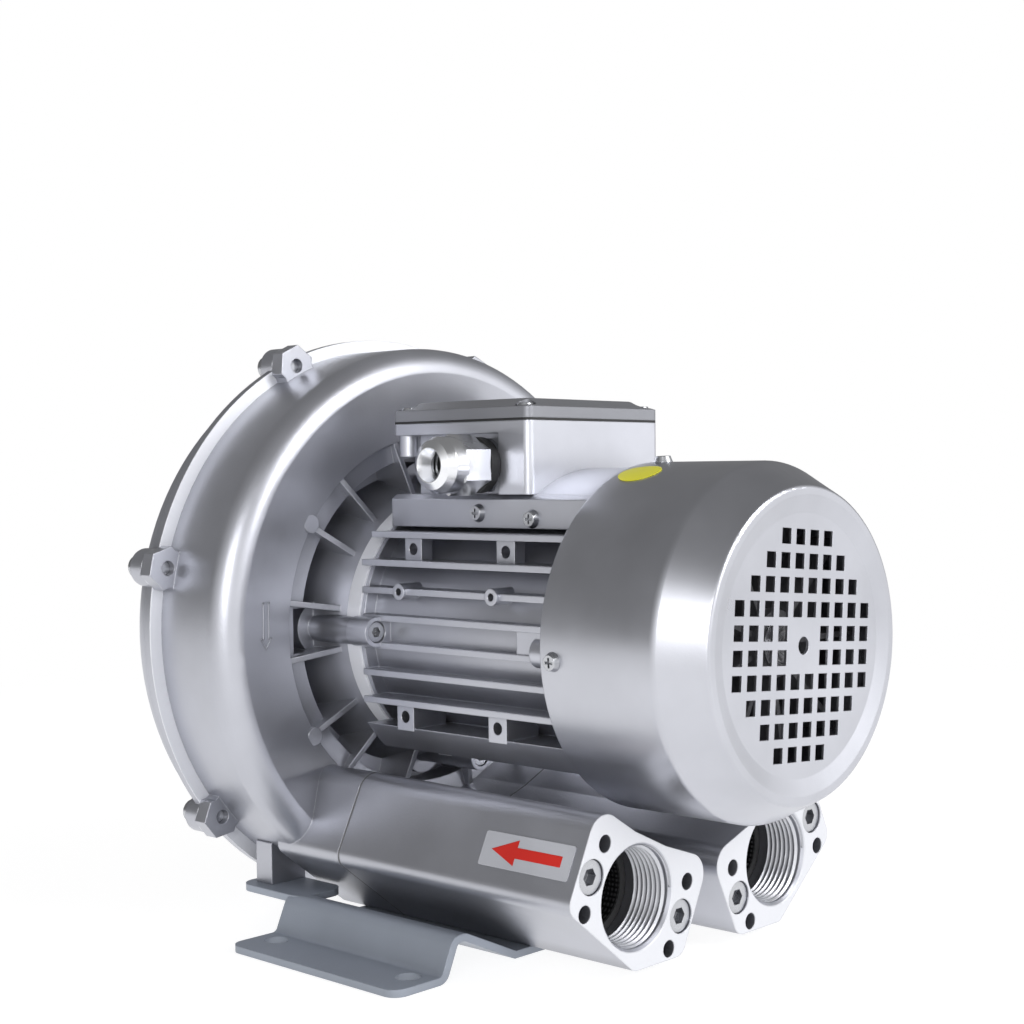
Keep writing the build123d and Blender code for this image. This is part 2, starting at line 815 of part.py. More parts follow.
# ---------------------------------------------------------------- wheel
with BuildPart() as impeller:
    turned(
        (wheel_hub_front, wheel_seat_radius + fit_gap / 2),
        (wheel_hub_front, 2.1 * wheel_seat_radius),
        (wheel_hub_front + 2, 2.1 * wheel_seat_radius),
        (wheel_hub_front + 3, wheel_ring_inner),
        (wheel_front, wheel_ring_inner),
        (wheel_front, wheel_radius),
        (wheel_back, wheel_radius),
        (wheel_back, wheel_ring_inner),
        (wheel_hub_front + 3 + wheel_web, wheel_ring_inner),
        (wheel_hub_front + 3 + wheel_web, 2.3 * wheel_seat_radius),
        (wheel_hub_back, 2.1 * wheel_seat_radius),
        (wheel_hub_back, wheel_seat_radius + fit_gap / 2),
    )
    groove_radius = channel_radius - 1.5
    for middle in (wheel_front, wheel_back):
        with BuildSketch(section()) as groove:
            with Locations((at(middle), channel_centre)):
                Circle(groove_radius)
        revolve(groove.sketch, axis=shaft_line, mode=Mode.SUBTRACT)
    with BuildSketch(across(wheel_front)) as blades:
        with PolarLocations(channel_centre, blade_count):
            Rectangle(2 * groove_radius + 1, blade_sheet)
    push(blades.sketch, wheel_width)
    block(
        (-key_width / 2 - fit_gap, key_width / 2 + fit_gap),
        (wheel_hub_front - 1, wheel_hub_back + 1),
        (0, wheel_seat_radius + key_height / 2),
        Mode.SUBTRACT,
    )
save(impeller, "impeller")

with BuildPart() as impeller_key:
    block(
        (-key_width / 2 + fit_gap, key_width / 2 - fit_gap),
        (key_station + 0.1, key_station + key_length - 0.1),
        (wheel_seat_radius - key_height / 2 + 0.05, wheel_seat_radius + key_height / 2 - 0.1),
    )
save(impeller_key, "impeller_key")

with BuildPart() as impeller_washer:
    tube(wheel_hub_back, wheel_hub_back + washer_sheet, 1.5 * wheel_seat_radius, 3.2)
save(impeller_washer, "impeller_washer")

with BuildPart() as impeller_bolt:
    hex_screw(behind(wheel_hub_back + washer_sheet), wheel_bolt_radius, 18.0, 10.0, bolt_head)
save(impeller_bolt, "impeller_bolt")

# ---------------------------------------------------------------- blower housing
hub_land_radius = wheel_ring_inner - running_gap
ledge_station = chamber_front - casting_wall - 3.7
spigot_inner = spigot_radius - 6.5
bearing_hub_radius = drive_bearing_radius + 5.5
annulus_outer = body_radius - shoulder_radius - 0.6
lug_spots = ring_spots(lug_radius, lug_count, -90)[1:]
rib_angles = [side + turn for side in (0, 180) for turn in (-74.7, -50.3, -32.4, -8.5, 8.5, 32.4, 50.3, 74.7)]
rib_front = recess_floor - 21.1
pad_spots = [spot for side in (-32.6, 32.6) for spot in ring_spots(annulus_radius + 1, 2, side)]
leg_foot = ridge_high - axis_height
stub_back = chamber_front - 2.0


def duct_outline(station, side, growth=0.0):
    """The outline of a duct on one side: flat below, stepped on top, wider towards the seam."""
    turn = radians(port_turn)

    def flat(u):
        return (port_drop - duct_flat_drop + u * sin(turn)) / cos(turn)

    wide = duct_half_width + growth
    corners = [
        (-wide, duct_low_corner, 6.0),
        (duct_keel, flat(duct_keel), 5.0),
        (wide, flat(wide), 6.0),
        (wide, duct_shoulder + growth, 9.0),
        (8.0, duct_waist + growth, 0),
        (-12.0, duct_waist + growth, 0),
        (-wide, duct_shoulder + growth, 9.0),
    ]
    spot = across(station, side * port_spacing / 2, -port_drop, side * port_turn)
    with BuildSketch(spot) as outline:
        with BuildLine():
            Polyline(*[(-side * u, v) for u, v, size in corners], close=True)
        make_face()
        for u, v, size in corners:
            if size > 0:
                fillet(outline.vertices().sort_by_distance((-side * u, v))[0], size)
    return outline.sketch


def lug_ring(station, depth, size, cornered):
    """The bolt lugs round the rim, cornered or round, on a ring outside the chamber."""
    with BuildSketch(across(station)) as lugs:
        for i in range(1, lug_count):
            with PolarLocations(lug_radius, 1, start_angle=-90 + 360 / lug_count * i):
                if cornered:
                    RegularPolygon(size, 6, major_radius=False, rotation=30)
                else:
                    Circle(size)
            with PolarLocations(lug_radius - size, 1, start_angle=-90 + 360 / lug_count * i):
                Rectangle(2 * size, 2 * size)
        Circle(chamber_radius + 2, mode=Mode.SUBTRACT)
    push(lugs.sketch, depth)


def clear_the_floor():
    """Cut the round castings off just above the floor."""
    cut_low = -axis_height - floor_cut_depth
    cut_high = -axis_height + floor_clearance
    half_width = floor_cut_width / 2
    block((-half_width, half_width), (torus_front - 1, cover_back + 1), (cut_low, cut_high), Mode.SUBTRACT)


def ring_channel(station):
    """The side channel: a round groove that stops at the stripper, below the shaft."""
    with BuildSketch(section(-90 - stripper_angle)) as groove:
        with Locations((at(station), channel_centre)):
            Circle(channel_radius)
    revolve(
        groove.sketch,
        axis=shaft_line,
        revolution_arc=360 - 2 * stripper_angle,
        mode=Mode.SUBTRACT,
    )


with BuildPart() as blower_housing:
    turned(
        (frame_rear, spigot_inner),
        (frame_rear, spigot_radius),
        (spigot_rear, spigot_neck),
        (recess_floor, cone_radius),
        (recess_floor, ledge_radius),
        (ledge_station, ledge_radius),
        (ledge_station - 0.5, annulus_radius - 1),
        (torus_front + annulus_slope, annulus_radius),
        (torus_front, annulus_outer),
        (torus_front, body_radius),
        (parting, body_radius),
        (parting, chamber_radius),
        (chamber_front, chamber_radius),
        (chamber_front, hub_land_radius),
        (hub_wall_back, hub_land_radius),
        (hub_wall_back, seal_radius + fit_gap),
        (recess_floor, seal_radius + fit_gap),
        (recess_floor, drive_bearing_radius + fit_gap),
        (drive_bearing_front - 1, drive_bearing_radius + fit_gap),
        (drive_bearing_front - 1, bearing_hub_radius),
        (recess_floor, bearing_hub_radius + 1),
        (recess_floor, cone_radius - 6),
        rounded=[(torus_front, body_radius, shoulder_radius)],
    )
    for side in (-1, 1):
        pocket_middle = side * (annulus_radius + ledge_radius - pocket_depth) / 2
        block(
            (pocket_middle - pocket_depth / 2, pocket_middle + pocket_depth / 2),
            (ledge_station - 1, recess_floor),
            (-pocket_half_width, pocket_half_width),
            Mode.SUBTRACT,
        )
    for x, z in mount_spots:
        rod(recess_floor - mount_disc_height, recess_floor + 1, mount_disc, x, z)
        rod(frame_rear, recess_floor, mount_post, x, z)
    for angle in rib_angles:
        with BuildSketch(section(angle)) as rib:
            with BuildLine():
                Polyline(
                    (at(rib_front), spigot_neck + 0.7),
                    (at(torus_front + annulus_slope + 0.4), annulus_radius + 0.5),
                    (at(ledge_station + 1), annulus_radius + 0.5),
                    (at(recess_floor + 1), ledge_radius + 1),
                    (at(recess_floor + 1), cone_radius - 2),
                    close=True,
                )
            make_face()
        extrude(rib.sketch, amount=rib_sheet / 2, both=True)
    for x, z in pad_spots:
        rod(torus_front + annulus_slope - 1.2, torus_front + annulus_slope + 4, pad_radius, x, z)
    lug_ring(parting - lug_front, lug_front, lug_size, True)
    with BuildSketch(across(leg_front)) as legs:
        leg_height = -leg_top_drop - leg_foot
        leg_centre = leg_foot + leg_height / 2
        with Locations((-leg_middle, leg_centre), (leg_middle, leg_centre)):
            Rectangle(leg_width, leg_height)
        Circle(chamber_radius + 3, mode=Mode.SUBTRACT)
    push(legs.sketch, leg_length)
    for side in (-1, 1):
        push(duct_outline(seam_station, side, seam_growth), stub_back - seam_station)
        rod(
            seam_station - 1,
            stub_back - 2,
            inlet_radius,
            side * port_spacing / 2,
            -port_drop,
            Mode.SUBTRACT,
        )
        seam_plane = across(seam_station - 1, side * port_spacing / 2, -port_drop, side * port_turn)
        with BuildSketch(seam_plane) as taps:
            with GridLocations(2 * duct_screw_u, 0, 2, 1):
                Circle(duct_screw_radius + fit_gap)
        push(taps.sketch, duct_screw_grip + 3, Mode.SUBTRACT)
        leg_sole = facing(side * leg_middle, leg_front + leg_length / 2, leg_foot, (0, 0, -1))
        with BuildSketch(leg_sole) as foot_tap:
            Circle(foot_screw_radius + fit_gap)
        extrude(foot_tap.sketch, amount=-foot_screw_grip - 1, mode=Mode.SUBTRACT)
    ring_channel(channel_front_centre)
    for x, z in lug_spots:
        rod(parting - lug_front - 1, parting + 1, lug_bolt_radius + fit_gap, x, z, Mode.SUBTRACT)
    for x, z in mount_spots:
        tap_end = frame_rear + mount_screw_grip + 2
        rod(frame_rear - 1, tap_end, mount_screw_radius + fit_gap, x, z, Mode.SUBTRACT)
    clear_the_floor()
save(blower_housing, "blower_housing")

with BuildPart() as shaft_seal:
    tube(seal_front + 0.1, hub_wall_back, seal_radius, drive_journal_radius + fit_gap)
save(shaft_seal, "shaft_seal")

# ---------------------------------------------------------------- wheel cover
cover_web_front = wheel_hub_front + 3 + wheel_web + 3.5
cover_recess = cover_web_front + front_wall
cap_inner = wheel_hub_back + washer_sheet + bolt_head + 1.0
cap_back = cap_inner + front_wall
cover_rib_angles = [-64 + 360 / 7 * i for i in range(7)]

with BuildPart() as impeller_cover:
    turned(
        (parting, chamber_radius),
        (parting, rim_radius),
        (parting + rim_sheet, rim_radius),
        (parting + rim_sheet, body_radius),
        (cover_back, body_radius),
        (cover_back, channel_centre - shoulder_radius),
        (cover_back - 5, annulus_radius),
        (cover_recess, ledge_radius + 3),
        (cover_recess, cap_radius + 2),
        (cap_back - 2, cap_radius),
        (cap_back, cap_radius - 4),
        (cap_back, 0),
        (cap_inner, 0),
        (cap_inner, cap_radius - 6),
        (cover_web_front, cap_radius - 4),
        (cover_web_front, hub_land_radius),
        (chamber_back, hub_land_radius),
        (chamber_back, chamber_radius),
        rounded=[
            (cover_back, body_radius, shoulder_radius),
            (cover_back, channel_centre - shoulder_radius, 6.0),
        ],
    )
    for angle in cover_rib_angles:
        with BuildSketch(section(angle)) as rib:
            with BuildLine():
                Polyline(
                    (at(cover_recess - 1), cap_radius),
                    (at(cap_back - 4), cap_radius),
                    (at(cover_back - 6), annulus_radius + 0.5),
                    (at(cover_recess - 1), ledge_radius + 4),
                    close=True,
                )
            make_face()
        extrude(rib.sketch, amount=rib_sheet / 2, both=True)
    lug_ring(parting, lug_back, lug_size, False)
    ring_channel(channel_back_centre)
    for x, z in lug_spots:
        rod(parting - 1, parting + lug_back + 1, lug_bolt_radius + seat_gap, x, z, Mode.SUBTRACT)
        rod(parting + lug_back, cover_back + 1, cover_bolt_head + running_gap, x, z, Mode.SUBTRACT)
    clear_the_floor()
save(impeller_cover, "impeller_cover")

with BuildPart() as cover_bolts:
    for x, z in lug_spots:
        socket_screw(
            behind(parting + lug_back, x, z),
            lug_bolt_radius,
            lug_back + lug_front - lug_bolt_short,
            cover_bolt_head,
            6.0,
            5.0,
        )
save(cover_bolts, "cover_bolts")

with BuildPart() as motor_mount_screws:
    for x, z in mount_spots:
        socket_screw(
            across(frame_rear - mount_lug_sheet, x, z),
            mount_screw_radius,
            mount_lug_sheet + mount_screw_grip,
            mount_head_radius,
            mount_head_height,
            4.0,
        )
save(motor_mount_screws, "motor_mount_screws")

with BuildPart() as frame_side_screws:
    for station, z in side_screw_spots:
        seat = facing(-pedestal_half_width, station, z, (-1, 0, 0))
        pan_screw(seat, side_screw_radius, side_screw_length - 2, 3.8, 2.4)
save(frame_side_screws, "frame_side_screws")

# ---------------------------------------------------------------- silencers
silencer_back = seam_station - gasket_sheet
cavity_front = port_station + thread_depth
liner_front = cavity_front + liner_play
head_seat = port_station + duct_head_height + 1.0
plate_screw_station = plate_front + 28.5


def duct_screw_holes(station, side, radius, depth):
    with BuildSketch(across(station, side * port_spacing / 2, -port_drop, side * port_turn)) as holes:
        with GridLocations(2 * duct_screw_u, 0, 2, 1):
            Circle(radius)
    push(holes.sketch, depth, Mode.SUBTRACT)


for side, name in ((-1, "left"), (1, "right")):
    port_x = side * port_spacing / 2

    with BuildPart() as silencer:
        front_face = duct_outline(port_station, side)
        back_face = duct_outline(silencer_back, side, seam_growth)
        loft([front_face.face(), back_face.face()])
        turned(
            (port_station - 1, 0),
            (port_station - 1, thread_radius + 1),
            (port_station + thread_radius - bore_radius, bore_radius),
            (cavity_front + 1, bore_radius),
            (cavity_front + 1, cavity_radius),
            (silencer_back + 1, cavity_radius),
            (silencer_back + 1, 0),
            x=port_x,
            z=-port_drop,
            mode=Mode.SUBTRACT,
        )
        with BuildSketch(across(port_station - 1, port_x, -port_drop, side * port_turn)) as flange_holes:
            with GridLocations(2 * port_hole_u, 2 * port_hole_v, 2, 2):
                Circle(port_hole_radius)
        push(flange_holes.sketch, port_hole_depth + 1, Mode.SUBTRACT)
        duct_screw_holes(port_station - 1, side, duct_head_radius + 0.3, head_seat - port_station + 1)
        duct_screw_holes(port_station, side, duct_screw_radius + seat_gap, silencer_back)
        duct_sole = facing(side * plate_screw_x, plate_screw_station, -duct_flat_drop, (0, 0, -1))
        with BuildSketch(duct_sole) as tap:
            Circle(foot_screw_radius + fit_gap)
        extrude(tap.sketch, amount=-foot_screw_depth - 0.5, mode=Mode.SUBTRACT)
    save(silencer, f"silencer_{name}")

    with BuildPart() as silencer_gasket:
        push(duct_outline(silencer_back, side, seam_growth), gasket_sheet)
        rod(silencer_back - 1, seam_station + 1, liner_radius, port_x, -port_drop, Mode.SUBTRACT)
        duct_screw_holes(silencer_back - 1, side, duct_screw_radius + seat_gap, gasket_sheet + 2)
    save(silencer_gasket, f"silencer_gasket_{name}")

    with BuildPart() as silencer_liner:
        liner_inner = liner_radius - liner_sheet
        tube(liner_front, silencer_back - seat_gap, liner_radius, liner_inner, port_x, -port_drop)
    save(silencer_liner, f"silencer_liner_{name}")

    with BuildPart() as silencer_foam:
        foam_outer = cavity_radius - seat_gap
        tube(liner_front, silencer_back - seat_gap, foam_outer, liner_radius + seat_gap, port_x, -port_drop)
    save(silencer_foam, f"silencer_foam_{name}")

with BuildPart() as silencer_bolts:
    for side in (-1, 1):
        for u in (-duct_screw_u, duct_screw_u):
            turn = radians(side * port_turn)
            spot = across(head_seat, side * port_spacing / 2 + u * cos(turn), -port_drop + u * sin(turn))
            socket_screw(
                spot,
                duct_screw_radius,
                seam_station + duct_screw_grip - head_seat,
                duct_head_radius,
                duct_head_height,
                6.0,
            )
save(silencer_bolts, "silencer_bolts")

# ---------------------------------------------------------------- terminal box
box_back = box_front + box_length
box_middle = (box_front + box_back) / 2
box_rim = box_top + box_flange
box_inner_x = pedestal_half_width - box_recess - box_wall
box_floor = pedestal_high + box_wall
gland_height = box_floor + gland_thread_radius + gland_floor_gap
box_body_back = mount_pocket_front
box_cavity_back = mount_pocket_front - box_back_wall
board_middle = (box_front + box_wall + box_cavity_back) / 2
lid_screw_spots = [(x, s) for x in (-36.0, 36.0) for s in (box_front + 5.8, box_back - 5.8)]
lid_low = box_rim + lid_gasket_sheet
lid_head_seat = lid_low + lid_plate - 1
board_low = box_floor + 5.0
board_post_spots = [(0, board_middle - 17.0), (0, board_middle + 17.0)]
stud_columns = [-stud_spacing, 0, stud_spacing]
stud_stations = [board_middle - stud_row / 2, board_middle + stud_row / 2]


def round_plate(low, high, half_width, corner):
    """A plate of the terminal box's outline with round corners; heights are from the shaft."""
    with BuildSketch(facing(0, box_middle, low, (0, 0, 1))) as plate:
        RectangleRounded(box_length, 2 * half_width, corner)
    extrude(plate.sketch, amount=high - low)


def drill_down(spots, top, depth, radius):
    """Drill down from a height above the shaft at (x, station) spots."""
    for x, s in spots:
        with BuildSketch(facing(x, s, top, (0, 0, 1))) as hole:
            Circle(radius)
        extrude(hole.sketch, amount=-depth, mode=Mode.SUBTRACT)


with BuildPart() as terminal_box:
    round_plate(pedestal_high, box_rim, pedestal_half_width, 3.0)
    inner_wall = pedestal_half_width - box_recess
    for side in (-1, 1):
        with BuildSketch(facing(side * (pedestal_half_width + 1), box_middle, 0, (side, 0, 0))) as recess:
            with Locations((box_post / 2 + 1, side * (box_top + pedestal_high) / 2)):
                Rectangle(box_length - box_post + 2, box_top - pedestal_high)
        extrude(recess.sketch, amount=-box_recess - 1, mode=Mode.SUBTRACT)
    block(
        (-box_inner_x, box_inner_x),
        (box_front + box_wall, box_cavity_back),
        (box_floor, box_rim + 1),
        Mode.SUBTRACT,
    )
    block(
        (-pedestal_half_width - 1, pedestal_half_width + 1),
        (box_body_back, box_back + 1),
        (pedestal_high - 1, box_top),
        Mode.SUBTRACT,
    )
    for x, s in lid_screw_spots:
        with BuildSketch(facing(x, s, box_top + 1, (0, 0, 1))) as lid_boss:
            Circle(lid_boss_radius)
        extrude(lid_boss.sketch, amount=-lid_boss_depth - 1)
    for x, s in board_post_spots:
        with BuildSketch(facing(x, s, box_floor - 1, (0, 0, 1))) as post:
            Circle(3.5)
        extrude(post.sketch, amount=board_low - box_floor + 1)
    drill_down(board_post_spots, board_low + 1, 5.0, board_screw_radius + fit_gap)
    drill_down(lid_screw_spots, box_rim + 1, 14.0, lid_screw_radius + fit_gap)
    drill_down([(0, wire_hole_station)], box_floor + 1, box_wall + 2, wire_hole_radius)
    with BuildSketch(facing(-pedestal_half_width, gland_station, gland_height, (-1, 0, 0))) as entry:
        Circle(gland_thread_radius + seat_gap)
    extrude(entry.sketch, amount=-box_recess - box_wall - 1, mode=Mode.SUBTRACT)
save(terminal_box, "terminal_box")

with BuildPart() as terminal_box_gasket:
    round_plate(box_rim, lid_low, pedestal_half_width, 3.0)
    block(
        (-box_inner_x, box_inner_x),
        (box_front + box_wall, box_cavity_back),
        (box_rim - 1, lid_low + 1),
        Mode.SUBTRACT,
    )
    drill_down(lid_screw_spots, lid_low + 1, lid_gasket_sheet + 2, lid_screw_radius + seat_gap)
save(terminal_box_gasket, "terminal_box_gasket")

with BuildPart() as terminal_box_lid:
    round_plate(lid_low, lid_low + lid_plate, pedestal_half_width, 3.0)
    top_face = terminal_box_lid.faces().sort_by(Axis.Z)[-1]
    loft(
        [
            top_face,
            Face.make_rect(
                2 * (pedestal_half_width - lid_bevel),
                box_length - 2 * lid_bevel,
                Plane(origin=(0, at(box_middle), axis_height + lid_low + lid_plate + lid_rise)),
            ),
        ]
    )
    block(
        (-box_inner_x, box_inner_x),
        (box_front + box_wall, box_cavity_back),
        (lid_low - 1, lid_low + lid_plate - 1),
        Mode.SUBTRACT,
    )
    lid_height = lid_plate + lid_rise
    drill_down(lid_screw_spots, lid_low + lid_height, lid_height + 1, lid_screw_radius + seat_gap)
    drill_down(
        lid_screw_spots,
        lid_low + lid_plate + lid_rise,
        lid_low + lid_plate + lid_rise - lid_head_seat,
        lid_head_radius + 0.4,
    )
save(terminal_box_lid, "terminal_box_lid")

with BuildPart() as lid_screws:
    for x, s in lid_screw_spots:
        pan_screw(facing(x, s, lid_head_seat, (0, 0, 1)), lid_screw_radius, 14.0, lid_head_radius, 2.4)
save(lid_screws, "lid_screws")

stud_spots = [(x, s) for x in stud_columns for s in stud_stations]
with BuildPart() as terminal_board:
    block(
        (-board_half_width, board_half_width),
        (board_middle - board_length / 2, board_middle + board_length / 2),
        (board_low, board_low + board_sheet),
    )
    for x in (-stud_spacing / 2, stud_spacing / 2):
        block(
            (x - 0.8, x + 0.8),
            (board_middle - board_length / 2, board_middle + board_length / 2),
            (board_low + board_sheet - 0.5, board_low + board_sheet + 3),
        )
    drill_down(stud_spots, board_low + board_sheet + 1, board_sheet + 2, stud_radius + fit_gap)
    drill_down(board_post_spots, board_low + board_sheet + 1, board_sheet + 2, board_screw_radius + seat_gap)
save(terminal_board, "terminal_board")

with BuildPart() as board_screws:
    for x, s in board_post_spots:
        pan_screw(facing(x, s, board_low + board_sheet, (0, 0, 1)), board_screw_radius, 8.0, 3.6, 2.0)
save(board_screws, "board_screws")

with BuildPart() as terminal_links:
    for x in stud_columns:
        block(
            (x - 4, x + 4),
            (stud_stations[0] - 5, stud_stations[1] + 5),
            (board_low + board_sheet, board_low + board_sheet + link_sheet),
        )
    drill_down(stud_spots, board_low + board_sheet + 3, 5, stud_radius + fit_gap)
save(terminal_links, "terminal_links")

with BuildPart() as terminal_studs:
    for x, s in stud_spots:
        with BuildSketch(facing(x, s, board_low, (0, 0, 1))) as stud:
            Circle(stud_radius)
        extrude(stud.sketch, amount=board_sheet + stud_height)
        with BuildSketch(facing(x, s, board_low + board_sheet + link_sheet, (0, 0, 1))) as nut:
            RegularPolygon(stud_nut / 2, 6, major_radius=False)
        extrude(nut.sketch, amount=stud_nut_height)
save(terminal_studs, "terminal_studs")

# ---------------------------------------------------------------- cable gland
gland_wall = inner_wall
gland_nut_front = gland_wall + gland_base_length + gland_washer_length + 0.3
gland_hex_end = gland_nut_front + 13.5
gland_end = gland_nut_front + gland_nut_length
gland_line = Axis((0, at(gland_station), axis_height + gland_height), (-1, 0, 0))


def gland_turned(*points, mode=Mode.ADD):
    """Revolve (distance out from the shaft, radius) points about the gland's line."""
    spot = Plane(
        origin=(0, at(gland_station), axis_height + gland_height),
        x_dir=(-1, 0, 0),
        z_dir=(0, 1, 0),
    )
    with BuildSketch(spot) as outline:
        with BuildLine():
            Polyline(*points, close=True)
        make_face()
    revolve(outline.sketch, axis=gland_line, mode=mode)


def gland_hex(start, end, flats):
    """A hexagon on the gland's line, with its corners up and down."""
    with BuildSketch(facing(-start, gland_station, gland_height, (-1, 0, 0))) as hexagon:
        RegularPolygon(flats / 2, 6, major_radius=False, rotation=30)
    extrude(hexagon.sketch, amount=end - start)


with BuildPart() as gland_body:
    gland_hex(gland_wall, gland_wall + gland_base_length, gland_base_flats)
    gland_turned(
        (gland_wall - 7.5, gland_hole_radius + 2.6),
        (gland_wall - 7.5, gland_thread_radius),
        (gland_nut_front + 12, gland_thread_radius),
        (gland_nut_front + 12, gland_hole_radius + 2.6),
    )
    gland_turned(
        (gland_wall - 8, 0),
        (gland_wall - 8, gland_hole_radius + 2.5),
        (gland_nut_front + 13, gland_hole_radius + 2.5),
        (gland_nut_front + 13, 0),
        mode=Mode.SUBTRACT,
    )
save(gland_body, "gland_body")

with BuildPart() as gland_washer:
    gland_turned(
        (gland_wall + gland_base_length, gland_thread_radius + fit_gap),
        (gland_wall + gland_base_length, gland_flats / 2 + 0.7),
        (gland_wall + gland_base_length + gland_washer_length, gland_flats / 2 + 0.7),
        (gland_wall + gland_base_length + gland_washer_length, gland_thread_radius + fit_gap),
    )
save(gland_washer, "gland_washer")

with BuildPart() as gland_nut:
    gland_hex(gland_nut_front, gland_hex_end, gland_flats)
    gland_turned(
        (gland_nut_front, 0),
        (gland_hex_end - 1, 0),
        (gland_hex_end - 1, gland_dome_radius),
        (gland_end - 5, gland_dome_radius),
        (gland_end - 1.6, gland_dome_radius - 1.6),
        (gland_end, gland_dome_radius - 4.4),
        (gland_end, 0),
    )
    gland_turned(
        (gland_nut_front - 1, 0),
        (gland_nut_front - 1, gland_thread_radius + fit_gap),
        (gland_nut_front + 14, gland_thread_radius + fit_gap),
        (gland_end - 5.5, gland_hole_radius + 1),
        (gland_end + 0.1, gland_dome_radius - 4.6),
        (gland_end + 0.1, 0),
        mode=Mode.SUBTRACT,
    )
save(gland_nut, "gland_nut")

with BuildPart() as gland_seal:
    gland_turned(
        (gland_nut_front + 12 - gland_seal_length, gland_hole_radius),
        (gland_nut_front + 12 - gland_seal_length, gland_hole_radius + 2.4),
        (gland_nut_front + 12, gland_hole_radius + 2.4),
        (gland_nut_front + 14, gland_hole_radius + 2.4),
        (gland_nut_front + 14, gland_hole_radius),
    )
save(gland_seal, "gland_seal")

# ---------------------------------------------------------------- base plate
centre_top = axis_height - duct_flat_drop
ridge_in = ridge_x - ridge_width / 2
ridge_out = ridge_x + ridge_width / 2
tongue_front = plate_back - 8.0
plate_hole_stations = [plate_front + plate_hole_setback, plate_front + plate_hole_setback + plate_hole_pitch]

with BuildPart() as base_plate:
    top_line = [
        (plate_half_width, plate_sheet),
        (wall_foot_x, plate_sheet),
        (ridge_out, ridge_high),
        (ridge_in, ridge_high),
        (slope_foot_x, centre_top),
    ]
    under_line = [
        (slope_foot_x + plate_sheet / 4, centre_top - plate_sheet),
        (ridge_in + plate_sheet / 4, ridge_high - plate_sheet),
        (ridge_out - 0.8 * plate_sheet, ridge_high - plate_sheet),
        (wall_foot_x - 0.8 * plate_sheet, 0),
        (plate_half_width, 0),
    ]
    right_half = top_line + [(-x, z) for x, z in reversed(top_line)]
    left_half = [(-x, z) for x, z in reversed(under_line)] + under_line
    with BuildSketch(across(plate_front, z=-axis_height)) as bent_sheet:
        with BuildLine():
            Polyline(*right_half, *left_half, close=True)
        make_face()
        for side in (-1, 1):
            for x, z in top_line[1:4]:
                bend = bend_radius if x == wall_foot_x else bend_radius + plate_sheet
                fillet(bent_sheet.vertices().sort_by_distance((side * x, z))[0], bend)
            for x, z in under_line[1:4]:
                bend = bend_radius + plate_sheet if z == 0 else bend_radius
                fillet(bent_sheet.vertices().sort_by_distance((side * x, z))[0], bend)
    push(bent_sheet.sketch, plate_length)
    fillet(base_plate.edges().filter_by(Axis.Z), plate_corner)
    for side in (-1, 1):
        tongue_middle = side * (tongue_inner_x + tongue_outer_x) / 2
        tongue_end = plate_back + tongue_length
        with BuildSketch(facing(tongue_middle, tongue_front, ridge_high - axis_height, (0, 0, 1))) as tongue:
            with Locations(((tongue_end - tongue_front) / 2, 0)):
                RectangleRounded(tongue_end - tongue_front, tongue_outer_x - tongue_inner_x, tongue_corner)
        extrude(tongue.sketch, amount=-plate_sheet)
    screw_way = foot_screw_radius + seat_gap
    for side in (-1, 1):
        holes = [(side * plate_hole_x, s) for s in plate_hole_stations]
        drill_down(holes, 10 - axis_height, 20, plate_hole_radius)
        drill_down([(side * plate_screw_x, plate_screw_station)], 10 - axis_height, 20, screw_way)
        drill_down([(side * leg_middle, leg_front + leg_length / 2)], 20 - axis_height, 20, screw_way)
save(base_plate, "base_plate")

with BuildPart() as base_screws:
    for side in (-1, 1):
        rear = facing(side * leg_middle, leg_front + leg_length / 2, leg_foot - plate_sheet, (0, 0, -1))
        pan_screw(rear, foot_screw_radius, plate_sheet + foot_screw_grip, foot_head_radius, foot_head_height)
        front = facing(side * plate_screw_x, plate_screw_station, -duct_flat_drop - plate_sheet, (0, 0, -1))
        shank = plate_sheet + foot_screw_depth
        pan_screw(front, foot_screw_radius, shank, foot_head_radius, low_head_height)
save(base_screws, "base_screws")
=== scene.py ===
import math

import bmesh
import bpy
from bpy.props import FloatProperty, FloatVectorProperty, PointerProperty
from mathutils import Matrix, Vector


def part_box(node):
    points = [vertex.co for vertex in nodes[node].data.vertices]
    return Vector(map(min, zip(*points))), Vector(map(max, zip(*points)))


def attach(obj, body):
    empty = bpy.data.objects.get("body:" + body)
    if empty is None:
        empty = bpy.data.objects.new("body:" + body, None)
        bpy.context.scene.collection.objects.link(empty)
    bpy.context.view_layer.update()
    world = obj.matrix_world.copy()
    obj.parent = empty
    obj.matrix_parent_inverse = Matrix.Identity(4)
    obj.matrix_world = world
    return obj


bl_info = {
    "name": "Side channel blower",
    "version": (1, 0, 0),
    "blender": (4, 5, 0),
    "location": "View3D > Sidebar > Blower",
    "description": "Finishes, threads, labels and studio of a side channel blower",
    "category": "Object",
}

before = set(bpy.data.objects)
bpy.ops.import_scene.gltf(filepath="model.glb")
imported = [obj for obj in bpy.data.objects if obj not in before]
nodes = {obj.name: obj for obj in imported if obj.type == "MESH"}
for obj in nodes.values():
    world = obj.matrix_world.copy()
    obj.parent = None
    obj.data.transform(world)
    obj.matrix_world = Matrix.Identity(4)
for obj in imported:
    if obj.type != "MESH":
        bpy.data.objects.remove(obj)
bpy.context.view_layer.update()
STANDING = "blower"


def middle(node):
    low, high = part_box(node)
    return (low + high) / 2


